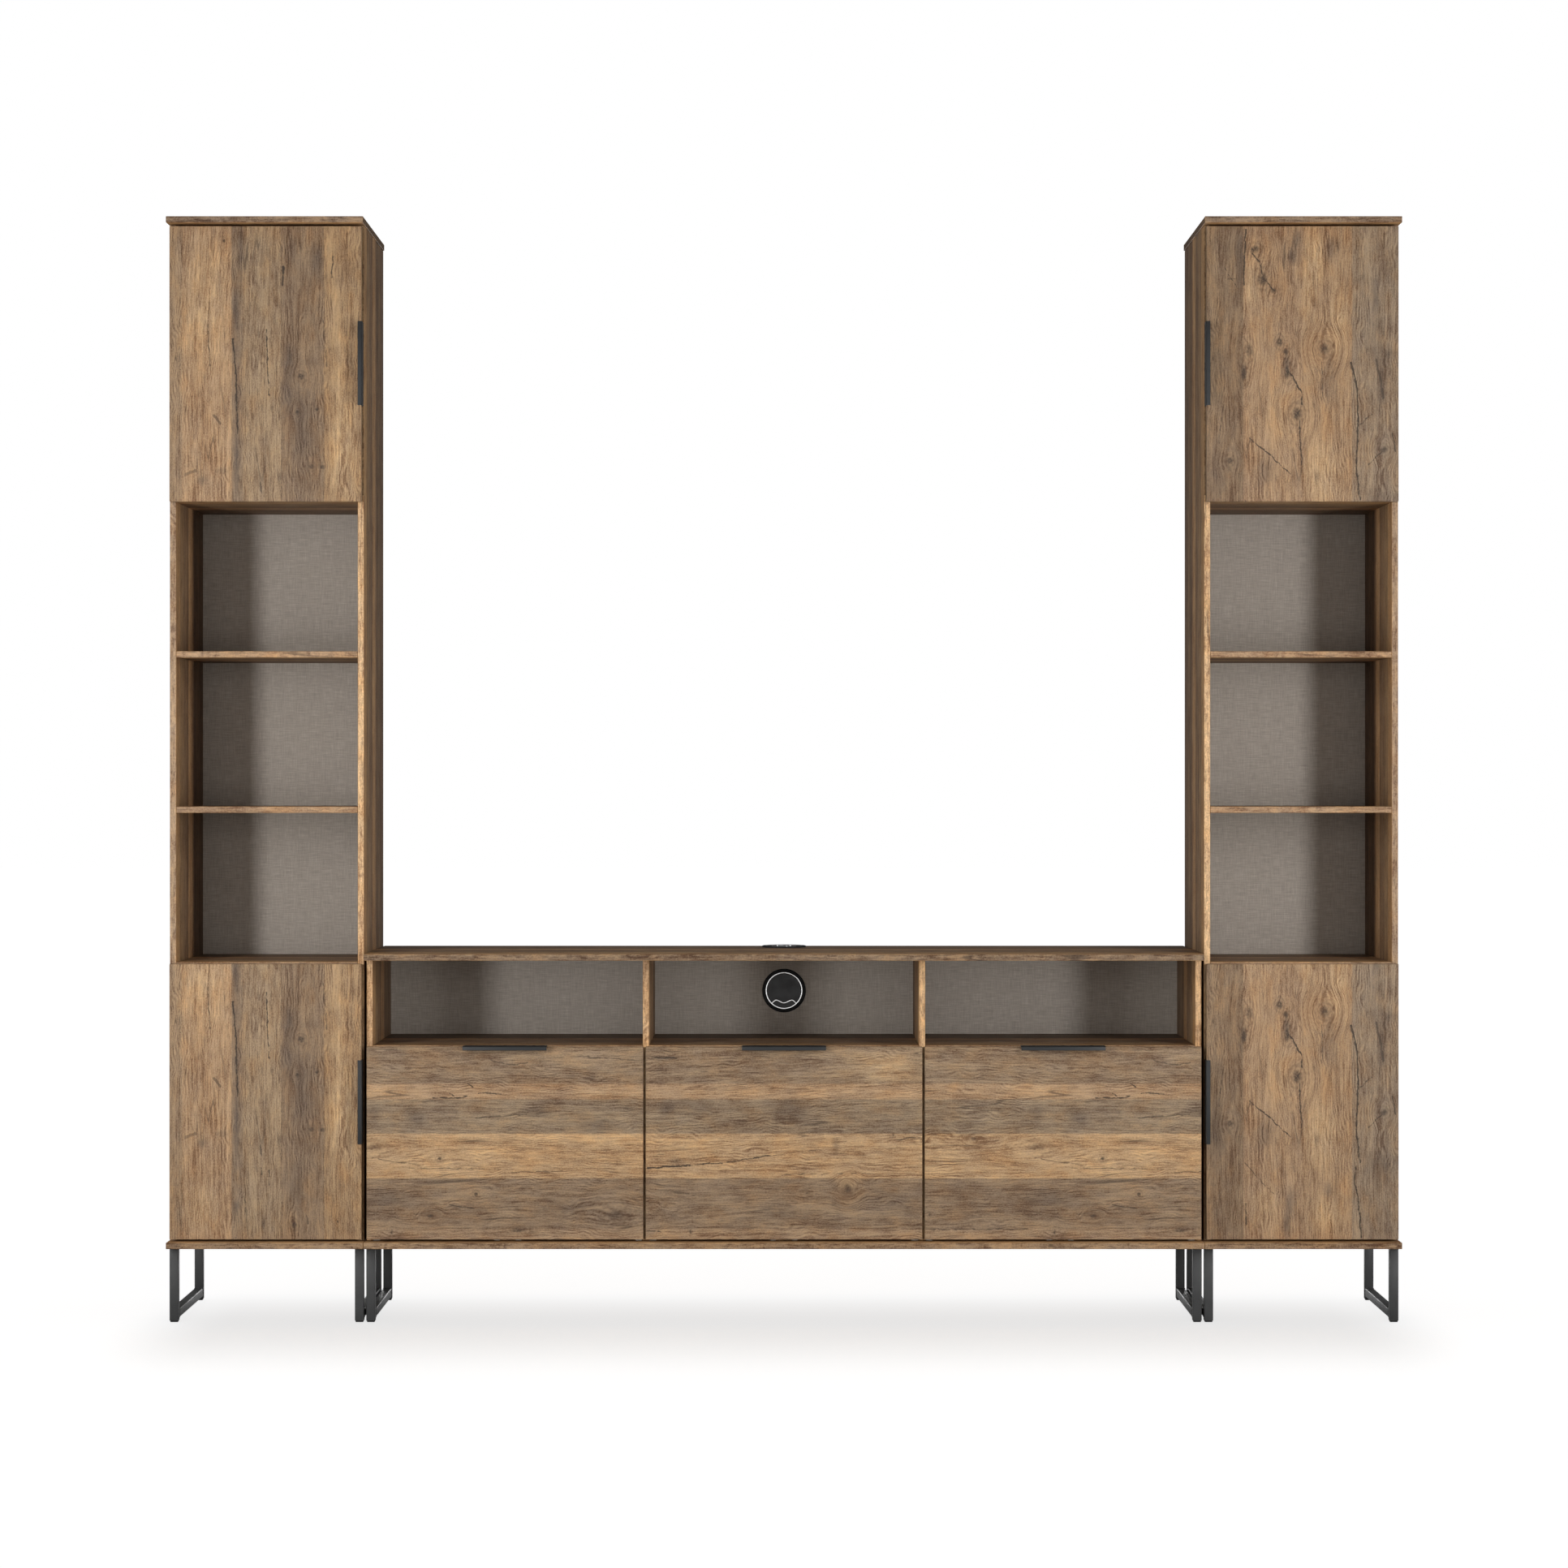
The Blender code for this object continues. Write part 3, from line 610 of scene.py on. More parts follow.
    def lay_stains(self, net: Net, ragged: Socket) -> Socket:
        """Add up the soft clouds.

        Args:
            net: Node tree to add to.
            ragged: Place on the sheet with a ragged shift.

        Returns:
            The sum, above zero where the sheet is stained and below where it is bleached.
        """
        shade = 0.0
        for stain in self.stains:
            _, reach = net.ellipse((stain.across, stain.along),
                                   (stain.half_width, stain.half_length), ragged)
            shade = net.calc("ADD", shade, net.fade(reach, 0.1, 1.5, stain.depth * 1.2, 0.0))
        return shade


LEFT_DOOR_SHEET = DecorSheet(
    planks=((0.024, (150, 124, 96)), (0.1185, (168, 137, 104)), (0.140, (134, 112, 89)),
            (0.213, (151, 127, 99)), (0.295, (134, 111, 87)), (0.366, (153, 125, 93))),
    width=0.366, grain=GrainAxis.UPRIGHT, across_origin=-1.172, across_sign=1,
    along_origin=0.828, along_sign=-1, seam=1.2,
    knots=(Knot(0.1046, 0.028, 0.004, 0.005), Knot(0.251, 0.287, 0.008, 0.007, 0.7, 0.5),
           Knot(0.2445, 0.355, 0.005, 0.005, 0.7, 0.45), Knot(0.281, 0.349, 0.004, 0.004, 0.75),
           Knot(0.2696, 0.459, 0.007, 0.006, 0.55), Knot(0.292, 0.459, 0.005, 0.006, 0.6),
           Knot(0.2387, 0.641, 0.006, 0.008, 0.6, 0.5), Knot(0.3212, 0.634, 0.002, 0.004, 0.7, 0.2)),
    cracks=(Crack(((0.084, 0.005), (0.0758, 0.167)), 0.0007, 0.35),
            Crack(((0.0758, 0.167), (0.0735, 0.212), (0.0784, 0.272)), 0.0009, 0.6),
            Crack(((0.1215, 0.215), (0.127, 0.283), (0.128, 0.332), (0.131, 0.395)), 0.0015, 0.8),
            Crack(((0.185, 0.197), (0.187, 0.264), (0.191, 0.328)), 0.0011, 0.7),
            Crack(((0.217, 0.077), (0.216, 0.114)), 0.0019, 0.75),
            Crack(((0.294, 0.182), (0.300, 0.268)), 0.0011, 0.45),
            Crack(((0.312, 0.058), (0.309, 0.099)), 0.0015, 0.65),
            Crack(((0.020, 0.230), (0.021, 0.275)), 0.0008, 0.5),
            Crack(((0.174, 0.488), (0.175, 0.508)), 0.0017, 0.55),
            Crack(((0.085, 0.360), (0.097, 0.377)), 0.0026, 0.42),
            Crack(((0.030, 0.4745), (0.050, 0.466)), 0.0030, 0.36),
            Crack(((0.1755, 0.533), (0.1765, 0.545)), 0.0014, 0.6),
            Crack(((0.1895, 0.536), (0.1905, 0.570)), 0.0014, 0.6),
            Crack(((0.1420, 0.585), (0.1475, 0.625), (0.1490, 0.664)), 0.0010, 0.5),
            Crack(((0.262, 0.622), (0.265, 0.640)), 0.0014, 0.45),
            Crack(((0.213, 0.005), (0.2135, 0.300), (0.213, 0.664)), 0.0007, 0.35),
            Crack(((0.295, 0.005), (0.2945, 0.664)), 0.0006, 0.30)),
    stains=(Stain(0.127, 0.165, 0.007, 0.042, 0.55), Stain(0.136, 0.050, 0.006, 0.055, 0.40),
            Stain(0.128, 0.320, 0.007, 0.110, 0.35), Stain(0.126, 0.470, 0.006, 0.060, 0.35),
            Stain(0.245, 0.350, 0.030, 0.090, 0.30), Stain(0.240, 0.040, 0.020, 0.060, 0.25),
            Stain(0.070, 0.100, 0.040, 0.100, -0.22), Stain(0.325, 0.300, 0.016, 0.160, -0.20),
            Stain(0.0615, 0.4855, 0.010, 0.010, 0.40), Stain(0.101, 0.467, 0.014, 0.007, 0.32),
            Stain(0.1275, 0.605, 0.006, 0.014, 0.50), Stain(0.1793, 0.640, 0.004, 0.010, 0.50),
            Stain(0.240, 0.560, 0.024, 0.050, 0.30), Stain(0.060, 0.610, 0.040, 0.050, -0.25),
            Stain(0.228, 0.248, 0.014, 0.036, 0.50), Stain(0.281, 0.062, 0.014, 0.034, 0.50),
            Stain(0.222, 0.330, 0.012, 0.050, 0.30), Stain(0.265, 0.420, 0.030, 0.090, 0.22),
            Stain(0.330, 0.440, 0.026, 0.110, -0.35), Stain(0.060, 0.200, 0.040, 0.090, -0.25),
            Stain(0.130, 0.430, 0.006, 0.080, 0.30), Stain(0.250, 0.030, 0.030, 0.040, -0.20)),
)

RIGHT_DOOR_SHEET = DecorSheet(
    planks=((0.070, (129, 106, 82)), (0.184, (156, 127, 97)), (0.277, (159, 129, 97)),
            (0.366, (142, 121, 98))),
    width=0.366, grain=GrainAxis.UPRIGHT, across_origin=0.806, across_sign=1,
    along_origin=0.828, along_sign=-1, seam=1.2,
    knots=(Knot(0.0904, 0.0448, 0.011, 0.009, 0.88), Knot(0.107, 0.101, 0.011, 0.015, 0.72),
           Knot(0.139, 0.221, 0.007, 0.010, 0.88), Knot(0.1504, 0.240, 0.007, 0.008, 0.65),
           Knot(0.154, 0.279, 0.007, 0.015, 0.75), Knot(0.172, 0.358, 0.011, 0.015, 0.80, 0.6),
           Knot(0.2253, 0.234, 0.012, 0.012, 0.55, 0.8), Knot(0.071, 0.279, 0.007, 0.020, 0.75),
           Knot(0.0447, 0.448, 0.007, 0.007, 0.60, 0.6), Knot(0.338, 0.427, 0.008, 0.008, 0.6, 0.7),
           Knot(0.080, 0.238, 0.009, 0.016, 0.5), Knot(0.128, 0.123, 0.007, 0.008, 0.55)),
    cracks=(Crack(((0.0746, 0.007), (0.0725, 0.060), (0.070, 0.114)), 0.0016, 0.7),
            Crack(((0.0874, 0.052), (0.1016, 0.070), (0.1054, 0.095), (0.129, 0.124)), 0.0013, 0.75),
            Crack(((0.0342, 0.080), (0.0567, 0.116)), 0.0009, 0.6),
            Crack(((0.040, 0.101), (0.058, 0.101)), 0.0008, 0.5),
            Crack(((0.152, 0.270), (0.1804, 0.3165), (0.1815, 0.340)), 0.0015, 0.75),
            Crack(((0.1766, 0.370), (0.181, 0.455)), 0.0013, 0.75),
            Crack(((0.2204, 0.260), (0.220, 0.3315)), 0.0009, 0.5),
            Crack(((0.081, 0.4046), (0.120, 0.436), (0.165, 0.4777)), 0.0012, 0.7),
            Crack(((0.0286, 0.365), (0.023, 0.414)), 0.0011, 0.5),
            Crack(((0.2748, 0.2603), (0.287, 0.309), (0.289, 0.384), (0.285, 0.455),
                   (0.2928, 0.5226)), 0.0016, 0.8),
            Crack(((0.315, 0.358), (0.2928, 0.378)), 0.0010, 0.55),
            Crack(((0.338, 0.427), (0.308, 0.455)), 0.0010, 0.55),
            Crack(((0.3546, 0.395), (0.360, 0.429)), 0.0015, 0.6),
            Crack(((0.3228, 0.2565), (0.331, 0.290), (0.3378, 0.3278)), 0.0026, 0.5),
            Crack(((0.2845, 0.530), (0.2810, 0.555), (0.2900, 0.600), (0.2945, 0.664)), 0.0014, 0.75),
            Crack(((0.0730, 0.522), (0.100, 0.555), (0.129, 0.582)), 0.0010, 0.5),
            Crack(((0.0745, 0.600), (0.0755, 0.640)), 0.0016, 0.6)),
    stains=(Stain(0.0635, 0.060, 0.010, 0.070, 0.45), Stain(0.1635, 0.056, 0.010, 0.016, 0.5),
            Stain(0.173, 0.020, 0.009, 0.022, 0.45), Stain(0.321, 0.133, 0.008, 0.034, 0.5),
            Stain(0.333, 0.290, 0.012, 0.060, 0.45), Stain(0.349, 0.243, 0.012, 0.010, 0.4),
            Stain(0.113, 0.466, 0.020, 0.034, 0.45), Stain(0.205, 0.060, 0.018, 0.060, -0.55),
            Stain(0.250, 0.180, 0.018, 0.070, -0.45), Stain(0.195, 0.130, 0.012, 0.060, -0.35),
            Stain(0.220, 0.470, 0.034, 0.060, -0.40), Stain(0.085, 0.120, 0.016, 0.040, -0.30),
            Stain(0.235, 0.300, 0.026, 0.050, 0.28), Stain(0.240, 0.045, 0.018, 0.024, 0.30),
            Stain(0.020, 0.480, 0.022, 0.060, 0.25), Stain(0.140, 0.360, 0.030, 0.060, -0.18),
            Stain(0.160, 0.600, 0.010, 0.030, 0.50), Stain(0.152, 0.640, 0.008, 0.025, 0.50),
            Stain(0.230, 0.575, 0.010, 0.016, 0.35), Stain(0.335, 0.530, 0.030, 0.030, 0.40),
            Stain(0.108, 0.600, 0.024, 0.040, -0.30), Stain(0.225, 0.620, 0.030, 0.030, -0.35),
            Stain(0.152, 0.262, 0.006, 0.024, 0.50), Stain(0.320, 0.200, 0.020, 0.050, 0.25)),
)

DRAWER_SHEET = DecorSheet(
    planks=((0.070, (139, 117, 93)), (0.0998, (163, 134, 103)), (0.1653, (137, 117, 94)),
            (0.2504, (174, 143, 107)), (0.3467, (134, 112, 89)), (0.367, (151, 126, 99))),
    width=0.367, grain=GrainAxis.ACROSS, across_origin=0.5264, across_sign=-1,
    along_origin=0.0, along_sign=1, seam=0.266,
    knots=(Knot(0.2696, 0.1217, 0.010, 0.008, 0.6, 0.9), Knot(0.168, 0.2085, 0.002, 0.002, 0.95, 0.2),
           Knot(0.2118, -0.6554, 0.004, 0.006, 0.7), Knot(0.281, -0.587, 0.005, 0.005, 0.7),
           Knot(0.322, -0.6747, 0.005, 0.007, 0.6, 0.6), Knot(0.320, -0.3227, 0.012, 0.020, 0.4, 0.6),
           Knot(0.350, -0.508, 0.005, 0.018, 0.6), Knot(0.175, -0.9035, 0.004, 0.006, 0.55),
           Knot(0.278, 0.0464, 0.004, 0.005, 0.45), Knot(0.320, -0.9875, 0.004, 0.003, 0.6),
           Knot(0.352, -0.748, 0.006, 0.003, 0.6), Knot(0.192, -0.782, 0.010, 0.020, 0.3),
           Knot(0.352, -0.1777, 0.006, 0.003, 0.5)),
    cracks=(Crack(((0.231, -0.260), (0.2258, -0.1847)), 0.0018, 0.85),
            Crack(((0.2258, -0.1847), (0.2195, -0.104), (0.2066, -0.027)), 0.0012, 0.7),
            Crack(((0.2066, -0.027), (0.2006, 0.029), (0.1954, 0.078)), 0.0008, 0.45),
            Crack(((0.243, -0.0026), (0.241, 0.109), (0.241, 0.165)), 0.0009, 0.5),
            Crack(((0.1775, 0.211), (0.1744, 0.232), (0.173, 0.2635)), 0.0009, 0.6),
            Crack(((0.275, -0.202), (0.285, -0.160)), 0.0009, 0.5),
            Crack(((0.0963, -0.669), (0.097, -0.627), (0.0945, -0.6046)), 0.0016, 0.85),
            Crack(((0.0875, -0.638), (0.0956, -0.627)), 0.0010, 0.7),
            Crack(((0.070, -0.6046), (0.076, -0.594)), 0.0011, 0.75),
            Crack(((0.089, -0.582), (0.088, -0.562), (0.091, -0.540)), 0.0011, 0.7),
            Crack(((0.231, -0.715), (0.2328, -0.540)), 0.0009, 0.5),
            Crack(((0.2398, -0.526), (0.236, -0.421)), 0.0009, 0.5),
            Crack(((0.212, -0.786), (0.226, -0.695)), 0.0009, 0.45),
            Crack(((0.301, -0.638), (0.308, -0.592)), 0.0011, 0.6),
            Crack(((0.135, -0.589), (0.128, -0.491)), 0.0012, 0.5),
            Crack(((0.0175, -0.393), (0.026, -0.270)), 0.0011, 0.5),
            Crack(((0.348, -0.993), (0.3467, -0.800)), 0.0013, 0.55),
            Crack(((0.350, -0.262), (0.353, -0.235)), 0.0014, 0.65),
            Crack(((0.026, -0.560), (0.034, -0.520), (0.030, -0.490)), 0.0012, 0.5),
            Crack(((0.0195, -0.245), (0.0215, -0.205)), 0.0016, 0.6)),
    stains=(Stain(0.217, -0.206, 0.007, 0.018, 0.35), Stain(0.187, 0.099, 0.018, 0.007, 0.30),
            Stain(0.118, -0.223, 0.012, 0.014, 0.40),
            Stain(0.021, -0.219, 0.005, 0.026, 0.45), Stain(0.040, 0.190, 0.030, 0.080, -0.35),
            Stain(0.124, -0.473, 0.010, 0.036, 0.35), Stain(0.138, -0.701, 0.014, 0.018, 0.40),
            Stain(0.149, -0.354, 0.016, 0.036, 0.40), Stain(0.054, -0.368, 0.010, 0.012, 0.35),
            Stain(0.124, -0.782, 0.016, 0.014, 0.40), Stain(0.115, 0.020, 0.014, 0.040, 0.35),
            Stain(0.135, 0.010, 0.012, 0.050, 0.30), Stain(0.120, -0.170, 0.018, 0.040, 0.25),
            Stain(0.315, 0.000, 0.016, 0.060, 0.25), Stain(0.300, 0.200, 0.026, 0.060, 0.22),
            Stain(0.290, -0.760, 0.020, 0.050, 0.30), Stain(0.305, -0.420, 0.020, 0.060, 0.25),
            Stain(0.255, 0.121, 0.016, 0.022, -0.35)),
)


def linen_back(name: str) -> bpy.types.Material:
    """Return the finish of a thin back: woven linen print ahead, plain hardboard behind.

    The weave is two families of slubs, noises stretched upright and across, with a fine
    chequer of threads over them.

    Args:
        name: Name of the material.

    Returns:
        The material.
    """
    net = Net(name)
    place = net.place()
    _, rearward, _ = net.split(net.facing())
    weave = net.noise(place, (600.0, 0.0, 36.0), 2.0, 0.6)
    for stretch, share in (((40.0, 0.0, 600.0), 1.0), ((130.0, 0.0, 9.0), 0.22),
                           ((12.0, 0.0, 150.0), 0.22), ((800.0, 0.0, 800.0), 0.5)):
        weave = net.calc("MULTIPLY_ADD", net.noise(place, stretch, 1.0), share, weave)
    cloth = net.ramp(net.calc("SUBTRACT", weave, 0.97),
                     [(0.0, linear((164, 155, 145))), (0.5, linear((190, 181, 170))),
                      (1.0, linear((214, 206, 196)))])
    fluff = net.noise(place, (300.0, 300.0, 300.0), 3.0, 0.7)
    board = net.ramp(fluff, [(0.3, linear((112, 84, 58))), (0.7, linear((146, 114, 82)))])
    colour = net.mix(net.calc("GREATER_THAN", rearward, 0.2), cloth, board)
    return net.finish(colour, 0.86, weave, 0.00010, Specular_IOR_Level=0.2)


@dataclass(frozen=True)
class Metal:
    """Painted or plated metal with a fine texture and a faint wear in its sheen."""

    colour: Colour
    metallic: float
    roughness: float
    grit: float
    specular: float = 0.5

    def material(self, name: str) -> bpy.types.Material:
        """Return the material: fine grit in height, cloudy change in tone and sheen.

        Args:
            name: Name of the material.

        Returns:
            The material.
        """
        net = Net(name)
        place = net.place()
        grit = net.noise(place, (1700.0, 1700.0, 1700.0), 2.0, 0.6)
        cloud = net.noise(place, (55.0, 55.0, 55.0), 3.0, 0.6)
        colour = net.ramp(net.calc("MULTIPLY_ADD", grit, 0.5, net.calc("MULTIPLY", cloud, 0.5)),
                          [(0.25, linear(self.colour, 0.80)), (0.75, linear(self.colour, 1.20))])
        rough = net.fade(cloud, 0.25, 0.75, self.roughness * 0.86, self.roughness * 1.14)
        return net.finish(colour, rough, grit, self.grit, Metallic=self.metallic,
                          Specular_IOR_Level=self.specular)


def lined_board(name: str) -> bpy.types.Material:
    """Return the finish of the drawer boards: pale foil with a fine cross-hatched print.

    Args:
        name: Name of the material.

    Returns:
        The material.
    """
    net = Net(name)
    place = net.place()
    upright = net.noise(place, (420.0, 420.0, 40.0), 2.0, 0.6)
    level = net.noise(place, (30.0, 30.0, 520.0), 2.0, 0.6)
    hatch = net.calc("MULTIPLY_ADD", upright, 0.5, net.calc("MULTIPLY", level, 0.5))
    colour = net.ramp(hatch, [(0.3, linear((168, 160, 148))), (0.7, linear((205, 198, 187)))])
    return net.finish(colour, 0.58, hatch, 0.00006, Specular_IOR_Level=0.35)


def planed_beech(name: str) -> bpy.types.Material:
    """Return planed beech: short dark flecks along Y over a pale pinkish ground.

    Args:
        name: Name of the material.

    Returns:
        The material.
    """
    net = Net(name)
    place = net.place()
    grain = net.noise(place, (160.0, 5.0, 160.0), 4.0, 0.6)
    fleck = net.fade(net.noise(place, (700.0, 60.0, 700.0), 1.0), 0.60, 0.70)
    colour = net.ramp(grain, [(0.3, linear((186, 148, 106))), (0.7, linear((214, 180, 140)))])
    colour = net.mix(net.calc("MULTIPLY", fleck, 0.5), colour, linear((140, 98, 62)))
    return net.finish(colour, 0.6, grain, 0.0001, Specular_IOR_Level=0.3)


class Finishes:
    """Every material of the set, made once."""

    def __init__(self) -> None:
        """Make the materials."""
        # The edge tones differ from board to board for one edge band: partly its colour, partly painted
        # light.
        upright, level, end = GrainAxis.UPRIGHT, GrainAxis.ACROSS, (94, 74, 54)
        inner = Oak(upright, (202, 167, 127), shaded=PAINTED_DOOR_SHADE_STRETCHES)
        deck = Oak(level, (165, 135, 105), warmth=(0.79, 0.78, 0.73))
        self.outer_oak = Oak(upright, (165, 138, 111)).material("oak_outer_sides")
        self.inner_oak = inner.material("oak_inner_sides")
        self.divider_oak = Oak(upright, (192, 157, 118)).material("oak_dividers")
        self.top_oak = Oak(level, (137, 115, 94), end, 1.2).material("oak_top")
        self.console_top_oak = Oak(level, (126, 105, 84), end, 1.3).material("oak_console_top")
        self.bottom_oak = Oak(level, (142, 116, 90), end, 1.2).material("oak_bottom")
        self.shelf_oak = Oak(level, (165, 135, 105)).material("oak_shelves")
        self.deck_oak = deck.material("oak_decks")
        self.left_doors = LEFT_DOOR_SHEET.material("oak_left_doors")
        self.right_doors = RIGHT_DOOR_SHEET.material("oak_right_doors")
        self.drawer_fronts = DRAWER_SHEET.material("oak_drawer_fronts")
        self.linen = linen_back("linen_back_panel")
        self.drawer_board = lined_board("drawer_lining")
        self.beech = planed_beech("beech")
        self.steel = Metal((62, 62, 62), 0.1, 0.50, 0.00003).material("black_powder_coat")
        self.dark_steel = Metal((34, 35, 36), 0.1, 0.50, 0.00003).material("matt_black_pulls")
        self.plastic = Metal((20, 20, 21), 0.0, 0.60, 0.00002, 0.3).material("black_moulded_plastic")
        self.cap_plastic = Metal((50, 50, 52), 0.0, 0.42, 0.00002).material("grey_black_cap")
        self.silver = Metal((248, 248, 248), 1.0, 0.28, 0.000005).material("silver_trim")
        self.plated = Metal((190, 188, 182), 1.0, 0.30, 0.000005).material("plated_steel")


def dress(material: bpy.types.Material, *nodes: str) -> None:
    """Give CAD nodes a material through their objects' own slots.

    Args:
        material: Finish of the nodes.
        nodes: Names of the nodes.
    """
    for node in nodes:
        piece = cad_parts[node]
        for slot in piece.material_slots:
            slot.link = "OBJECT"
            slot.material = material
        LOG.info("dressed %s with %s", node, material.name)


@dataclass
class Shell:
    """A surface over a grid of points: rows by columns, where each row closes on itself.

    A ring shell's rows close on themselves too.  Any other shell is capped at both ends.
    """

    grid: np.ndarray
    ring: bool = False

    def faces(self, first: int) -> list[list[int]]:
        """Return the faces: a net of quads, and a cap at each end unless it is a ring.

        Args:
            first: Number of the surface's first point.

        Returns:
            Lists of point numbers.
        """
        rows, columns = self.grid.shape[:2]
        index = np.arange(rows * columns).reshape(rows, columns) + first
        near = index if self.ring else index[:-1]
        far = np.roll(index, -1, axis=0) if self.ring else index[1:]
        quads = np.stack([near, np.roll(near, -1, axis=1), np.roll(far, -1, axis=1), far], axis=-1)
        faces = quads.reshape(-1, 4).tolist()
        if not self.ring:
            faces += [index[0].tolist(), index[-1].tolist()]
        return faces


def add_object(name: str, data: bpy.types.ID) -> bpy.types.Object:
    """Put a new object into the scene.

    Args:
        name: Name of the object.
        data: Its mesh, camera or light.

    Returns:
        The object.
    """
    item = bpy.data.objects.new(name, data)
    bpy.context.scene.collection.objects.link(item)
    return item


def make_piece(name: str, shells: list[Shell], material: bpy.types.Material, body: str,
               stands_for: tuple[str, ...] = (), smooth: float = 32.0) -> bpy.types.Object:
    """Turn shells into one object that rides a body.

    Args:
        name: Name of the piece.
        shells: Closed surfaces in world places.
        material: Finish of the piece.
        body: CAD body that it moves with.
        stands_for: CAD nodes that it replaces.
        smooth: Edges flatter than this angle in degrees are shaded smooth.

    Returns:
        The object.
    """
    points = np.concatenate([shell.grid.reshape(-1, 3) for shell in shells])
    faces = []
    first = 0
    for shell in shells:
        faces += shell.faces(first)
        first += shell.grid.size // 3
    mesh = bpy.data.meshes.new(name)
    mesh.from_pydata(points.tolist(), [], faces)
    shape = bmesh.new()
    shape.from_mesh(mesh)
    bmesh.ops.remove_doubles(shape, verts=shape.verts, dist=MERGE_DISTANCE)
    bmesh.ops.recalc_face_normals(shape, faces=shape.faces)
    shape.to_mesh(mesh)
    shape.free()
    mesh.shade_smooth()
    mesh.set_sharp_from_angle(angle=math.radians(smooth))
    mesh.materials.append(material)
    piece = add_object(name, mesh)
    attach(piece, body)
    if stands_for:
        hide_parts(*stands_for)
    LOG.info("built %s on %s", name, body)
    return piece


def full_turn(steps: int) -> np.ndarray:
    """Return even angles round a full turn."""
    return np.linspace(0, 2 * math.pi, steps, endpoint=False)


def circle_points(turn: np.ndarray) -> np.ndarray:
    """Return the points cos t, sin t of a circle of radius one."""
    return np.stack([np.cos(turn), np.sin(turn)], axis=1)


def rounded_rectangle(width: float, height: float, radius: float, steps: int = 4) -> np.ndarray:
    """Return a rectangle's outline with quarter circles at its corners.

    Args:
        width: Full size on the first axis.
        height: Full size on the second axis.
        radius: Radius of the corners.
        steps: Stretches in each quarter circle.

    Returns:
        Points by two coordinates, anticlockwise.
    """
    quarter = np.linspace(0, math.pi / 2, steps + 1)
    turns = np.concatenate([quarter + math.pi / 2 * corner for corner in range(4)])
    signs = np.repeat(np.array([[1, 1], [-1, 1], [-1, -1], [1, -1]]), steps + 1, axis=0)
    centres = signs * (np.array([width, height]) / 2 - radius)
    return centres + radius * circle_points(turns)


def block(low: Point, high: Point, axis: int, corner: float, edge: float = 0.0004) -> Shell:
    """Return a bar between two corners: a rounded rectangle carried along an axis.

    Near both ends the outline draws in along a quarter circle, which rounds the end edges.

    Args:
        low: Lowest corner.
        high: Highest corner.
        axis: Index of the axis it runs along.
        corner: Radius of the long edges.
        edge: Radius of the end edges.

    Returns:
        The closed bar.
    """
    size = np.array(high) - np.array(low)
    middle = (np.array(high) + np.array(low)) / 2
    first, second = [other for other in range(3) if other != axis]
    turn = np.linspace(0, math.pi / 2, 3)
    rising, falling = edge * (1 - np.cos(turn)), edge * (1 - np.sin(turn))
    inset = np.concatenate([falling, rising])
    travel = np.concatenate([rising, size[axis] - falling])
    rows = []
    for drawn, along in zip(inset, travel):
        outline = rounded_rectangle(size[first] - 2 * drawn, size[second] - 2 * drawn,
                                    max(corner - drawn, 0.00005))
        row = np.zeros((len(outline), 3))
        row[:, first] = middle[first] + outline[:, 0]
        row[:, second] = middle[second] + outline[:, 1]
        row[:, axis] = low[axis] + along
        rows.append(row)
    return Shell(np.array(rows))


def carried(outline: np.ndarray, origins: np.ndarray, first: np.ndarray, second: np.ndarray,
            ring: bool = False) -> Shell:
    """Carry an outline along a path: point = origin + a * first axis + b * second axis.

    Args:
        outline: Points by two coordinates, or stations by points by two.
        origins: Stations by three coordinates.
        first: First axis at each station, or one for all.
        second: Second axis at each station, or one for all.
        ring: Whether the path closes on itself.

    Returns:
        The closed sweep.
    """
    stations = len(origins)
    shape = np.broadcast_to(outline, (stations,) + outline.shape[-2:])
    one = np.broadcast_to(first, (stations, 3))
    two = np.broadcast_to(second, (stations, 3))
    grid = (origins[:, None, :] + shape[:, :, 0, None] * one[:, None, :]
            + shape[:, :, 1, None] * two[:, None, :])
    return Shell(grid, ring)


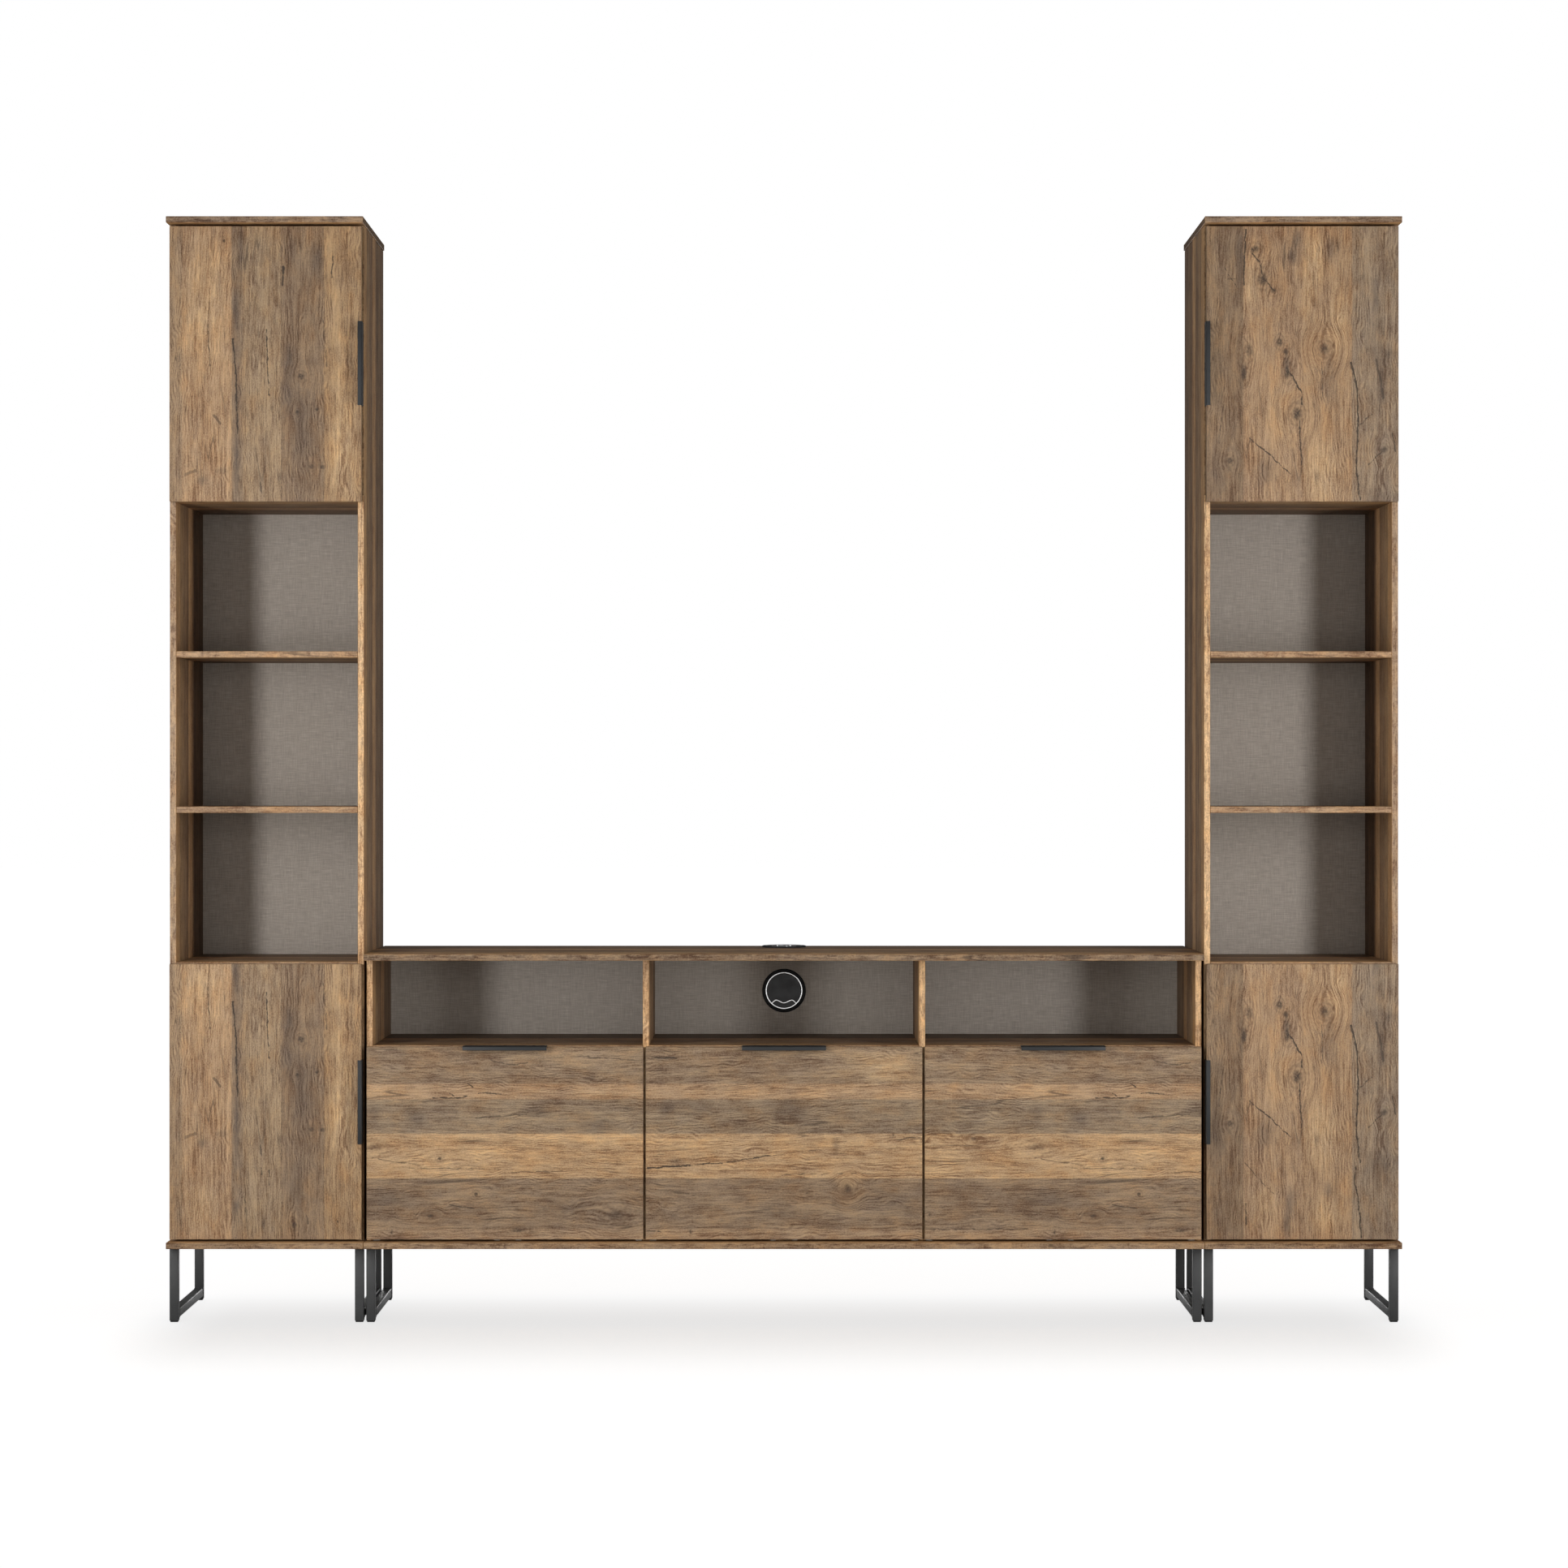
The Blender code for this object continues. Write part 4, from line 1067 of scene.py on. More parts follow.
@dataclass(frozen=True)
class Seat:
    """A local frame for round parts: a centre, a right, an up and an outward direction."""

    centre: Point
    right: Point
    up: Point
    out: Point

    def axes(self) -> np.ndarray:
        """Return the three directions as rows."""
        return np.array([self.right, self.up, self.out], dtype=float)

    def lofted(self, radii: np.ndarray, heights: np.ndarray, ring: bool = False) -> Shell:
        """Return a surface of rings: radius by angle and height by ring.

        The point is centre + r cos t * right + r sin t * up + h * out.

        Args:
            radii: Rings by angles.
            heights: One height for each ring.
            ring: Whether the last ring joins the first.

        Returns:
            The closed surface.
        """
        right, up, out = self.axes()
        turn = full_turn(radii.shape[1])[:, None]
        flat = np.cos(turn) * right + np.sin(turn) * up
        grid = np.array(self.centre) + radii[:, :, None] * flat + heights[:, None, None] * out
        return Shell(grid, ring)

    def turned(self, profile: list[Pair], steps: int) -> Shell:
        """Turn a closed profile of radius and height about the outward direction."""
        rows = np.array(profile)
        return self.lofted(np.repeat(rows[:, :1], steps, axis=1), rows[:, 1], True)

    def moved(self, right: float, up: float, out: float) -> "Seat":
        """Return the same frame at another centre.

        Args:
            right: Way along the right direction.
            up: Way along the up direction.
            out: Way along the outward direction.

        Returns:
            The frame.
        """
        across, above, away = self.axes()
        centre = np.array(self.centre) + right * across + up * above + out * away
        return Seat(tuple(centre), self.right, self.up, self.out)

    def screw(self, radius: float, height: float) -> Shell:
        """Return a domed screw head with a cross recess: the recess radius swings as cos 4t.

        Args:
            radius: Radius of the head.
            height: Height of its dome.

        Returns:
            The closed head.
        """
        turn = full_turn(32)
        recess = radius * (0.34 + 0.18 * np.cos(4 * turn))
        even = np.full(len(turn), radius)
        radii = np.stack([even * 0, recess * 0.5, recess, even * 0.74, even * 0.93, even, even * 0])
        heights = height * np.array([0.35, 0.35, 1.0, 0.96, 0.62, 0.0, 0.0])
        return self.lofted(radii, heights)


@dataclass
class LegFrame:
    """A sled leg frame: two posts, a floor rail, a top strap, welds, screws and glides."""

    node: str
    finishes: Finishes
    tube: float = 0.017
    corner: float = 0.0018
    strap: float = 0.003
    rail_clearance: float = 0.0072
    glide: float = 0.0028
    glide_inset: float = 0.0012
    glide_overlap: float = 0.001
    glide_corner: float = 0.002
    glide_edge: float = 0.0007
    strap_corner: float = 0.0006
    weld: float = 0.0013
    weld_pitch: float = 0.0011
    weld_end: float = 0.001
    screw_share: float = 0.62
    screw_radius: float = 0.0042
    screw_height: float = 0.0022

    def build(self) -> None:
        """Build the tubes and the glides in place of the CAD frame."""
        low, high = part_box(self.node)
        near, far, middle = low.x, high.x, (low.x + high.x) / 2
        front, rear, under = low.y, high.y, high.z - self.strap
        inset = self.glide_inset
        rail_low, rail_high = self.rail_clearance, self.rail_clearance + self.tube
        tubes, glides = [], []
        for start in (front, rear - self.tube):
            end = start + self.tube
            tubes.append(block((near, start, self.glide), (far, end, under), 2, self.corner))
            glides.append(block((near + inset, start + inset, 0.0),
                                (far - inset, end - inset, self.glide + self.glide_overlap),
                                2, self.glide_corner, self.glide_edge))
        tubes.append(block((near, front + self.tube - self.corner, rail_low),
                           (far, rear - self.tube + self.corner, rail_high), 1, self.corner))
        tubes.append(block((near, front, under), (far, rear, high.z), 1, self.strap_corner))
        for joint in (front + self.tube, rear - self.tube):
            tubes.append(self.weld_bead(np.array([middle, joint, (rail_low + rail_high) / 2])))
            tubes.append(self.weld_line(np.array([middle, joint, under]), far - near))
        for end in (front, rear):
            seat = Seat((middle, end * self.screw_share, under), (1, 0, 0), (0, -1, 0), (0, 0, -1))
            tubes.append(seat.screw(self.screw_radius, self.screw_height))
        make_piece(self.node + "_tubes", tubes, self.finishes.steel, "root",
                   (self.node,))
        make_piece(self.node + "_glides", glides, self.finishes.plastic, "root",
                   (self.node,))

    def ripples(self, marks: np.ndarray) -> np.ndarray:
        """Return a small circle for each mark, whose radius swings as a sine of the mark."""
        swell = self.weld * (0.80 + 0.16 * np.sin(marks / self.weld_pitch))
        return swell[:, None, None] * circle_points(full_turn(8))[None]

    def weld_bead(self, centre: np.ndarray) -> Shell:
        """Carry a rippled circle round the outline of a tube's end.

        Args:
            centre: Middle of the tube's end.

        Returns:
            The closed bead.
        """
        path = rounded_rectangle(self.tube, self.tube, self.corner, 6)
        dense = np.concatenate([path, path[:1]])
        stretch = np.concatenate([[0], np.cumsum(np.linalg.norm(np.diff(dense, axis=0), axis=1))])
        marks = np.linspace(0, stretch[-1], 96, endpoint=False)
        across = np.interp(marks, stretch, dense[:, 0])
        up = np.interp(marks, stretch, dense[:, 1])
        flat = np.stack([across, np.zeros_like(across), up], axis=1)
        outward = flat / np.linalg.norm(flat, axis=1)[:, None]
        return carried(self.ripples(marks), centre + flat, outward, np.array([0.0, 1.0, 0.0]), True)

    def weld_line(self, centre: np.ndarray, length: float) -> Shell:
        """Carry a rippled circle along a short straight line under the strap.

        Args:
            centre: Middle of the line.
            length: Width of the strap that it crosses.

        Returns:
            The closed bead.
        """
        half = length / 2 - self.weld_end
        marks = np.linspace(-half, half, 24)
        origins = centre + np.stack([marks, 0 * marks, 0 * marks], axis=1)
        return carried(self.ripples(marks), origins, np.array([0.0, 1.0, 0.0]),
                       np.array([0.0, 0.0, 1.0]))


@dataclass
class EdgePull:
    """An edge pull bent from flat strip: over the front's edge, then down as a lip."""

    node: str
    body: str
    inward: Point
    finishes: Finishes
    reach: float = 0.030
    lip: float = 0.008
    strip: float = 0.002
    seat: float = 0.0003
    bend: float = 0.0010
    nip: float = 0.0004
    end_nip: float = 0.0003
    end_share: float = 0.985
    screw_spacing: float = 0.055
    screw_setback: float = 0.008
    screw_radius: float = 0.0034
    screw_height: float = 0.0005

    def outline(self) -> np.ndarray:
        """Return the strip's outline in the plane of the forward and inward directions.

        Two straight legs of even thickness meet in quarter circles about one centre.

        Returns:
            Points by two coordinates.
        """
        low, nip = -self.seat - self.strip, self.nip
        tip = low + self.lip
        inside = self.reach - self.strip
        outer = self.bend + self.strip
        centre = np.array([self.reach - outer, low + outer])
        arc = circle_points(np.linspace(-math.pi / 2, 0, 7))
        start = [[nip, -self.seat], [0, -self.seat - nip], [0, low + nip], [nip, low]]
        end = [[self.reach, tip - nip], [self.reach - nip, tip], [inside + nip, tip],
               [inside, tip - nip]]
        return np.concatenate([start, centre + outer * arc, end, centre + self.bend * arc[::-1]])

    def build(self) -> None:
        """Build the strip and its screws in place of the CAD handle."""
        low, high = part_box(self.node)
        inward = np.array(self.inward, dtype=float)
        forward = np.array([0.0, -1.0, 0.0])
        along_axis, hold_axis = (0, 2) if self.inward[2] else (2, 0)
        reach = self.seat + self.strip
        corner = np.zeros(3)
        corner[1] = high.y
        corner[hold_axis] = low[hold_axis] + reach if inward[hold_axis] > 0 else high[hold_axis] - reach
        along = np.zeros(3)
        along[along_axis] = 1.0
        start, end = low[along_axis], high[along_axis]
        stations = np.array([start, start + self.end_nip, end - self.end_nip, end])
        shape = self.outline()
        middle = shape.mean(axis=0)
        drawn = middle + (shape - middle) * self.end_share
        shells = [carried(np.array([drawn, shape, shape, drawn]), corner + stations[:, None] * along,
                          forward, inward)]
        for offset in (-self.screw_spacing, 0.0, self.screw_spacing):
            place = (corner + along * ((start + end) / 2 + offset) + forward * self.screw_setback
                     - inward * reach)
            seat = Seat(tuple(place), tuple(along), tuple(np.cross(-inward, along)), tuple(-inward))
            shells.append(seat.screw(self.screw_radius, self.screw_height))
        make_piece(self.node + "_strip", shells, self.finishes.dark_steel, self.body,
                   (self.node,))


@dataclass
class CupHinge:
    """A concealed hinge: a cup in the door, and an arm and plate on the tower's outer side."""

    side: Side
    door_body: str
    name: str
    height: float
    door_back: float
    door_far: float
    wall: float
    finishes: Finishes
    cup_offset: float = 0.0225
    cup_bore: float = 0.0159
    cup_depth: float = 0.0101
    cup_sheet: float = 0.0007
    rim_radius: float = 0.0178
    bead_inner: float = 0.0166
    bead_outer: float = 0.0171
    bead: float = 0.0003
    wing_width: float = 0.0206
    wing_height: float = 0.0526
    wing: float = 0.00135
    wing_lift: float = 0.00003
    wing_screw: float = 0.0212
    plate: float = 0.002
    riser: float = 0.0035
    setback: float = 0.037
    arm_lead: float = 0.0058
    plate_screw: float = 0.0185

    def build(self) -> None:
        """Build the cup on the door and the arm on the carcass."""
        make_piece(self.name + "_cup", self.cup(), self.finishes.plated, self.door_body)
        make_piece(self.name + "_arm", self.arm(), self.finishes.plated, "root")

    def cup(self) -> list[Shell]:
        """Return the pressed cup with its wings and two screws.

        The wings' edge is a superellipse, r = (|cos/a|^8 + |sin/b|^8)^(-1/8), joined with
        the cup's rim by the larger of the two radii.

        Returns:
            The closed surfaces.
        """
        centre = (self.side.value * (self.door_far - self.cup_offset), self.door_back, self.height)
        seat = Seat(centre, (-1, 0, 0), (0, 0, 1), (0, 1, 0))
        turn = full_turn(96)
        half_width, half_height = self.wing_width / 2, self.wing_height / 2
        plate = (np.abs(np.cos(turn) / half_width) ** 8
                 + np.abs(np.sin(turn) / half_height) ** 8) ** (-1 / 8)
        edge = np.maximum(plate, self.rim_radius)
        bore, wall = self.cup_bore, self.cup_bore - self.cup_sheet
        floor, face, lift = -self.cup_depth, self.wing, self.wing_lift
        crest = face + self.bead
        rows = [(0.0, floor + 0.0006), (wall * 0.9, floor + 0.0006), (wall, floor + 0.0018),
                (wall, face - 0.0002), (wall + 0.0005, crest), (self.bead_inner, crest),
                (self.bead_outer, face), (edge - 0.0005, face), (edge, face - 0.0004),
                (edge, lift), (bore, lift), (bore, floor), (0.0, floor)]
        radii = np.array([np.broadcast_to(radius, edge.shape) for radius, _ in rows])
        shells = [seat.lofted(radii, np.array([height for _, height in rows]))]
        for up in (-self.wing_screw, self.wing_screw):
            shells.append(seat.moved(0.0, up, face).screw(0.0034, 0.0010))
        return shells

    def arm(self) -> list[Shell]:
        """Return the arm: a rounded channel that narrows to its tip, on a riser and a plate.

        Returns:
            The closed surfaces, screws last.
        """
        sign, z = self.side.value, self.height
        plate_face = self.wall - self.plate
        riser_face = plate_face - self.riser
        rear = self.door_back + FACE_GAP + self.setback
        shells = []
        for near, far, back, tall, corner in ((plate_face, self.wall, 0.008, 0.024, 0.005),
                                              (riser_face, plate_face, 0.020, 0.009, 0.002)):
            left, right = sorted((sign * near, sign * far))
            shells.append(block((left, rear - back, z - tall), (right, rear + back, z + tall),
                                0, corner, 0.0005))
        reach = np.array([0.0, 0.0006, 0.004, 0.012, 0.020, 0.0662, 0.0686, 0.0694])
        wide = np.array([0.0090, 0.0100, 0.0104, 0.0112, 0.0138, 0.0138, 0.0128, 0.0110])
        thick = np.array([0.0040, 0.0050, 0.0056, 0.0072, 0.0098, 0.0098, 0.0088, 0.0072])
        outline = np.array([rounded_rectangle(w, t, min(w, t) * 0.32) for w, t in zip(wide, thick)])
        outline[:, :, 1] += thick[:, None] / 2
        origins = np.stack([0 * reach + sign * riser_face, self.door_back - self.arm_lead + reach,
                            0 * reach + z], axis=1)
        shells.append(carried(outline, origins, np.array([0.0, 0.0, 1.0]),
                              np.array([-sign * 1.0, 0.0, 0.0])))
        on_plate = Seat((sign * plate_face, rear, z), (0, 1, 0), (0, 0, 1), (-sign, 0, 0))
        on_arm = Seat((sign * (riser_face - thick.max()), rear - 0.010, z), on_plate.right,
                      on_plate.up, on_plate.out)
        shells.append(on_arm.screw(0.0036, 0.0010))
        shells.append(on_arm.moved(0.024, 0.0, 0.0).screw(0.0042, 0.0012))
        for up in (-self.plate_screw, self.plate_screw):
            shells.append(on_plate.moved(0.0, up, 0.0).screw(0.0036, 0.0012))
        return shells


@dataclass
class Door:
    """One tower door with its pull and two hinges."""

    side: Side
    level: Level
    finishes: Finishes
    wall: float
    hinge_inset: float = 0.090

    def build(self) -> None:
        """Dress the panel and build its fittings."""
        prefix = self.side.label + "_" + self.level.value
        body = prefix + "_door"
        sheet = self.finishes.left_doors if self.side is Side.LEFT else self.finishes.right_doors
        dress(sheet, body)
        EdgePull(prefix + "_handle", body, (self.side.value, 0, 0), self.finishes).build()
        low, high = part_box(body)
        far = max(abs(low.x), abs(high.x))
        for place, height in (("bottom", low.z + self.hinge_inset), ("top", high.z - self.hinge_inset)):
            CupHinge(self.side, body, prefix + "_" + place + "_hinge", height,
                     low.y + FRONT_THICKNESS, far, self.wall, self.finishes).build()


@dataclass
class Tower:
    """One cabinet tower."""

    side: Side
    finishes: Finishes
    groove_width: float = 0.0036
    groove_depth: float = 0.004
    edge: float = 0.0007
    shelf_parts: tuple[str, ...] = ("lower_fixed_shelf", "upper_fixed_shelf", "open_shelf_1",
                                    "open_shelf_2")

    def build(self) -> None:
        """Dress the boards, build the outer side and fit doors and legs."""
        prefix = self.side.label + "_tower_"
        dress(self.finishes.inner_oak, prefix + "inner_side")
        dress(self.finishes.top_oak, prefix + "top_panel")
        dress(self.finishes.bottom_oak, prefix + "bottom_panel")
        dress(self.finishes.shelf_oak, *[prefix + part for part in self.shelf_parts])
        dress(self.finishes.linen, prefix + "back_panel")
        wall = self.outer_side(prefix)
        for level in Level:
            Door(self.side, level, self.finishes, wall).build()
        for place in ("inner", "outer"):
            LegFrame(prefix + place + "_leg_frame", self.finishes).build()

    def outer_side(self, prefix: str) -> float:
        """Build the outer side as a grooved board outline carried upwards.

        Args:
            prefix: Start of the tower's node names.

        Returns:
            Distance of its inner face from the middle of the set.
        """
        node = prefix + "outer_side"
        low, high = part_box(node)
        inner_low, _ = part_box(prefix + "inner_side")
        back_low, back_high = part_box(prefix + "back_panel")
        face = max(abs(low.x), abs(high.x))
        wall = face - BOARD
        front, rear = inner_low.y, high.y
        middle = (back_low.y + back_high.y) / 2
        near, far = middle - self.groove_width / 2, middle + self.groove_width / 2
        nip = self.edge
        bed = wall + self.groove_depth
        outline = np.array([
            [wall + nip, front], [face - nip, front], [face, front + nip], [face, rear - nip],
            [face - nip, rear], [wall + nip, rear], [wall, rear - nip], [wall, far], [bed, far],
            [bed, near], [wall, near], [wall, front + nip]])
        outline[:, 0] *= self.side.value
        origins = np.array([[0.0, 0.0, low.z], [0.0, 0.0, high.z]])
        board = carried(outline, origins, np.array([1.0, 0.0, 0.0]), np.array([0.0, 1.0, 0.0]))
        make_piece(node + "_board", [board], self.finishes.outer_oak, "root",
                   (node,), 20.0)
        return wall


@dataclass
class Drawer:
    """One deep drawer of the console with its pull."""

    bay: Bay
    finishes: Finishes

    def build(self) -> None:
        """Dress the front, the box and the rail, and build the pull."""
        name = self.bay.value + "_drawer"
        dress(self.finishes.drawer_fronts, name + "_front")
        dress(self.finishes.drawer_board, name + "_box")
        dress(self.finishes.beech, name + "_center_rail")
        EdgePull(name + "_handle", name, (0, 0, -1), self.finishes).build()


@dataclass
class Grommet:
    """A round cable grommet: sleeve, turning cap, outlet flap and silver trim."""

    name: str
    seat: Seat
    finishes: Finishes
    sleeve_radius: float = 0.0397
    sleeve_wall: float = 0.0020
    sleeve_reach: float = 0.0140
    flange_radius: float = 0.0435
    flange_top: float = 0.0033
    lift: float = 0.0003
    cap_radius: float = 0.0368
    cap_seat: float = 0.0008
    play: float = 0.0004
    soft: float = 0.0016
    ledge_radius: float = 0.0335
    ledge: float = 0.0019
    crown: float = 0.0036
    ring_inner: float = 0.0342
    wave_offset: float = 0.0166
    wave_middle: float = 0.02175
    wave_swell: float = 0.00275
    flap_gap: float = 0.0008
    flap_drop: float = 0.0004
    flap_soft: float = 0.0003

    def build(self) -> None:
        """Build every piece in place of its CAD node."""
        grey, silver, cap = self.finishes.cap_plastic, self.finishes.silver, self.name + "_cap"
        make_piece(self.name + "_flanged_sleeve", [self.sleeve()], self.finishes.plastic, "root",
                   (self.name + "_sleeve",))
        make_piece(self.name + "_disc", [self.disc()], grey, cap, (cap,))
        make_piece(self.name + "_outlet_flap", [self.flap()], grey, cap,
                   (self.name + "_flap",))
        make_piece(self.name + "_silver_ring", [self.ring()], silver, cap, (cap,))
        make_piece(self.name + "_silver_wave", [self.wave_trim()], silver, cap, (cap,))

    def sleeve(self) -> Shell:
        """Turn the sleeve with its softly rounded flange.

        Returns:
            The closed ring.
        """
        inner, outer = self.sleeve_radius - self.sleeve_wall, self.sleeve_radius
        bore = self.cap_radius + self.play
        rest, under = self.cap_seat - self.lift, self.cap_seat - self.ledge
        top, soft = self.flange_top, self.soft
        curve = [(self.flange_radius - soft + soft * math.cos(turn), top - soft + soft * math.sin(turn))
                 for turn in np.linspace(0, math.pi / 2, 6)]
        profile = [(self.flange_radius, self.lift), *curve, (bore + 0.0004, top),
                   (bore, top - 0.0004), (bore, rest), (self.ledge_radius, rest),
                   (self.ledge_radius, under), (inner, under), (inner, -self.sleeve_reach),
                   (outer, -self.sleeve_reach), (outer, self.lift)]
        return self.seat.turned(profile, 96)

    def wave_line(self, count: int) -> np.ndarray:
        """Return the wave: y = -middle - swell cos(pi t) for x = offset t, run out to the rim.

        Args:
            count: Number of points.

        Returns:
            Points by two coordinates, from left to right.
        """
        turn = np.linspace(-1.42, 1.42, count)
        y = -self.wave_middle - self.wave_swell * np.cos(math.pi * np.clip(turn, -1, 1))
        beyond = np.clip(np.abs(turn) - 1, 0, None)
        return np.stack([self.wave_offset * turn, y - 0.0150 * beyond ** 1.15], axis=1)

    def edge_radii(self) -> np.ndarray:
        """Find how far the disc reaches: to the rim, or to the wave where that is nearer.

        Returns:
            One radius for each angle.
        """
        turn = full_turn(192)
        line = self.wave_line(400)
        angle = np.mod(np.arctan2(line[:, 1], line[:, 0]), 2 * math.pi)
        reach = np.linalg.norm(line, axis=1)
        wave = np.interp(turn, angle, reach, left=1.0, right=1.0)
        return np.minimum(wave, self.ring_inner - 0.0001)

    def disc(self) -> Shell:
        """Loft the cap's disc: a slightly crowned top out to the edge radius at each angle.

        Returns:
            The closed disc.
        """
        edge, top, bottom = self.edge_radii(), self.crown, self.cap_seat
        rows = [(0.0, 0.0), (0.35, 0.00003), (0.7, 0.00012), (0.93, 0.00022)]
        radii = [edge * share for share, _ in rows] + [edge - 0.0003, edge, edge, edge * 0]
        heights = [top - drop for _, drop in rows] + [top - 0.0003, top - 0.0006, bottom, bottom]
        return self.seat.lofted(np.array(radii), np.array(heights))

    def flap(self) -> Shell:
        """Raise the outlet flap between the wave and the rim's arc, its top edge drawn in.

        Returns:
            The closed flap.
        """
        line = self.wave_line(48)
        line = line[np.linalg.norm(line, axis=1) < self.ring_inner - 0.0010]
        line[:, 1] -= self.flap_gap
        start = math.atan2(line[-1, 1], line[-1, 0])
        end = math.atan2(line[0, 1], line[0, 0])
        arc = (self.ring_inner - self.play) * circle_points(np.linspace(start, end, 40))
        outline = np.concatenate([line, arc])
        middle = outline.mean(axis=0)
        size = np.abs(outline - middle).max()
        drawn = middle + (outline - middle) * (1 - self.flap_soft / size)
        top = self.crown - self.flap_drop
        origins = np.array([self.seat.moved(0, 0, height).centre
                            for height in (self.cap_seat, top - self.flap_soft, top)])
        right, up, _ = self.seat.axes()
        return carried(np.array([outline, outline, drawn]), origins, right, up)

    def ring(self) -> Shell:
        """Turn the silver ring: a rounded trapezoid about the cap's axis.

        Returns:
            The closed ring.
        """
        low, high = self.cap_seat, self.flange_top - 0.0001
        outer, inner = self.cap_radius, self.ring_inner + 0.0002
        shoulder, brow = high - 0.0004, high - 0.0001
        profile = [(outer, low), (outer, shoulder), (outer - 0.0001, brow), (outer - 0.0004, high),
                   (inner + 0.0003, high), (inner + 0.0001, brow), (inner, shoulder), (inner, low)]
        return self.seat.turned(profile, 128)

    def wave_trim(self) -> Shell:
        """Carry a small rounded bar along the wave, as the outlet's silver line.

        Returns:
            The closed bar.
        """
        line = self.wave_line(72)
        line = line[np.linalg.norm(line, axis=1) < self.ring_inner]
        tangent = np.gradient(line, axis=0)
        tangent /= np.linalg.norm(tangent, axis=1)[:, None]
        right, up, out = self.seat.axes()
        origins = (np.array(self.seat.centre) + line[:, :1] * right + line[:, 1:] * up
                   + out * (self.crown - 0.00075))
        sideways = -tangent[:, 1:] * right + tangent[:, :1] * up
        return carried(rounded_rectangle(0.0021, 0.0016, 0.0003, 2), origins, sideways, out)


@dataclass
class Console:
    """The low console between the towers."""

    finishes: Finishes
    shelf_parts: tuple[str, ...] = ("left_deck", "center_deck", "right_deck")
    upright_parts: tuple[str, ...] = ("left_side", "right_side", "left_divider", "right_divider")

    def build(self) -> None:
        """Dress the boards and build the drawers, leg frames and grommets."""
        dress(self.finishes.console_top_oak, "console_top_panel")
        dress(self.finishes.bottom_oak, "console_bottom_panel")
        dress(self.finishes.deck_oak, *["console_" + part for part in self.shelf_parts])
        dress(self.finishes.divider_oak, *["console_" + part for part in self.upright_parts])
        dress(self.finishes.linen, "console_back_panel")
        for bay in Bay:
            Drawer(bay, self.finishes).build()
        for side in Side:
            LegFrame("console_" + side.label + "_leg_frame", self.finishes).build()
        for name, seat in (("top_grommet", self.top_seat()), ("back_grommet", self.back_seat())):
            Grommet(name, seat, self.finishes).build()

    def top_seat(self) -> Seat:
        """Find the place of the grommet in the top panel.

        Returns:
            A frame on the panel's upper face, facing up.
        """
        low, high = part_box("top_grommet_sleeve")
        _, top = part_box("console_top_panel")
        centre = ((low.x + high.x) / 2, (low.y + high.y) / 2, top.z)
        return Seat(centre, (1, 0, 0), (0, 1, 0), (0, 0, 1))

    def back_seat(self) -> Seat:
        """Find the place of the grommet in the back panel.

        Returns:
            A frame on the panel's front face, facing the front.
        """
        low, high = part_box("back_grommet_sleeve")
        panel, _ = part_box("console_back_panel")
        centre = ((low.x + high.x) / 2, panel.y, (low.z + high.z) / 2)
        return Seat(centre, (1, 0, 0), (0, 0, 1), (0, -1, 0))


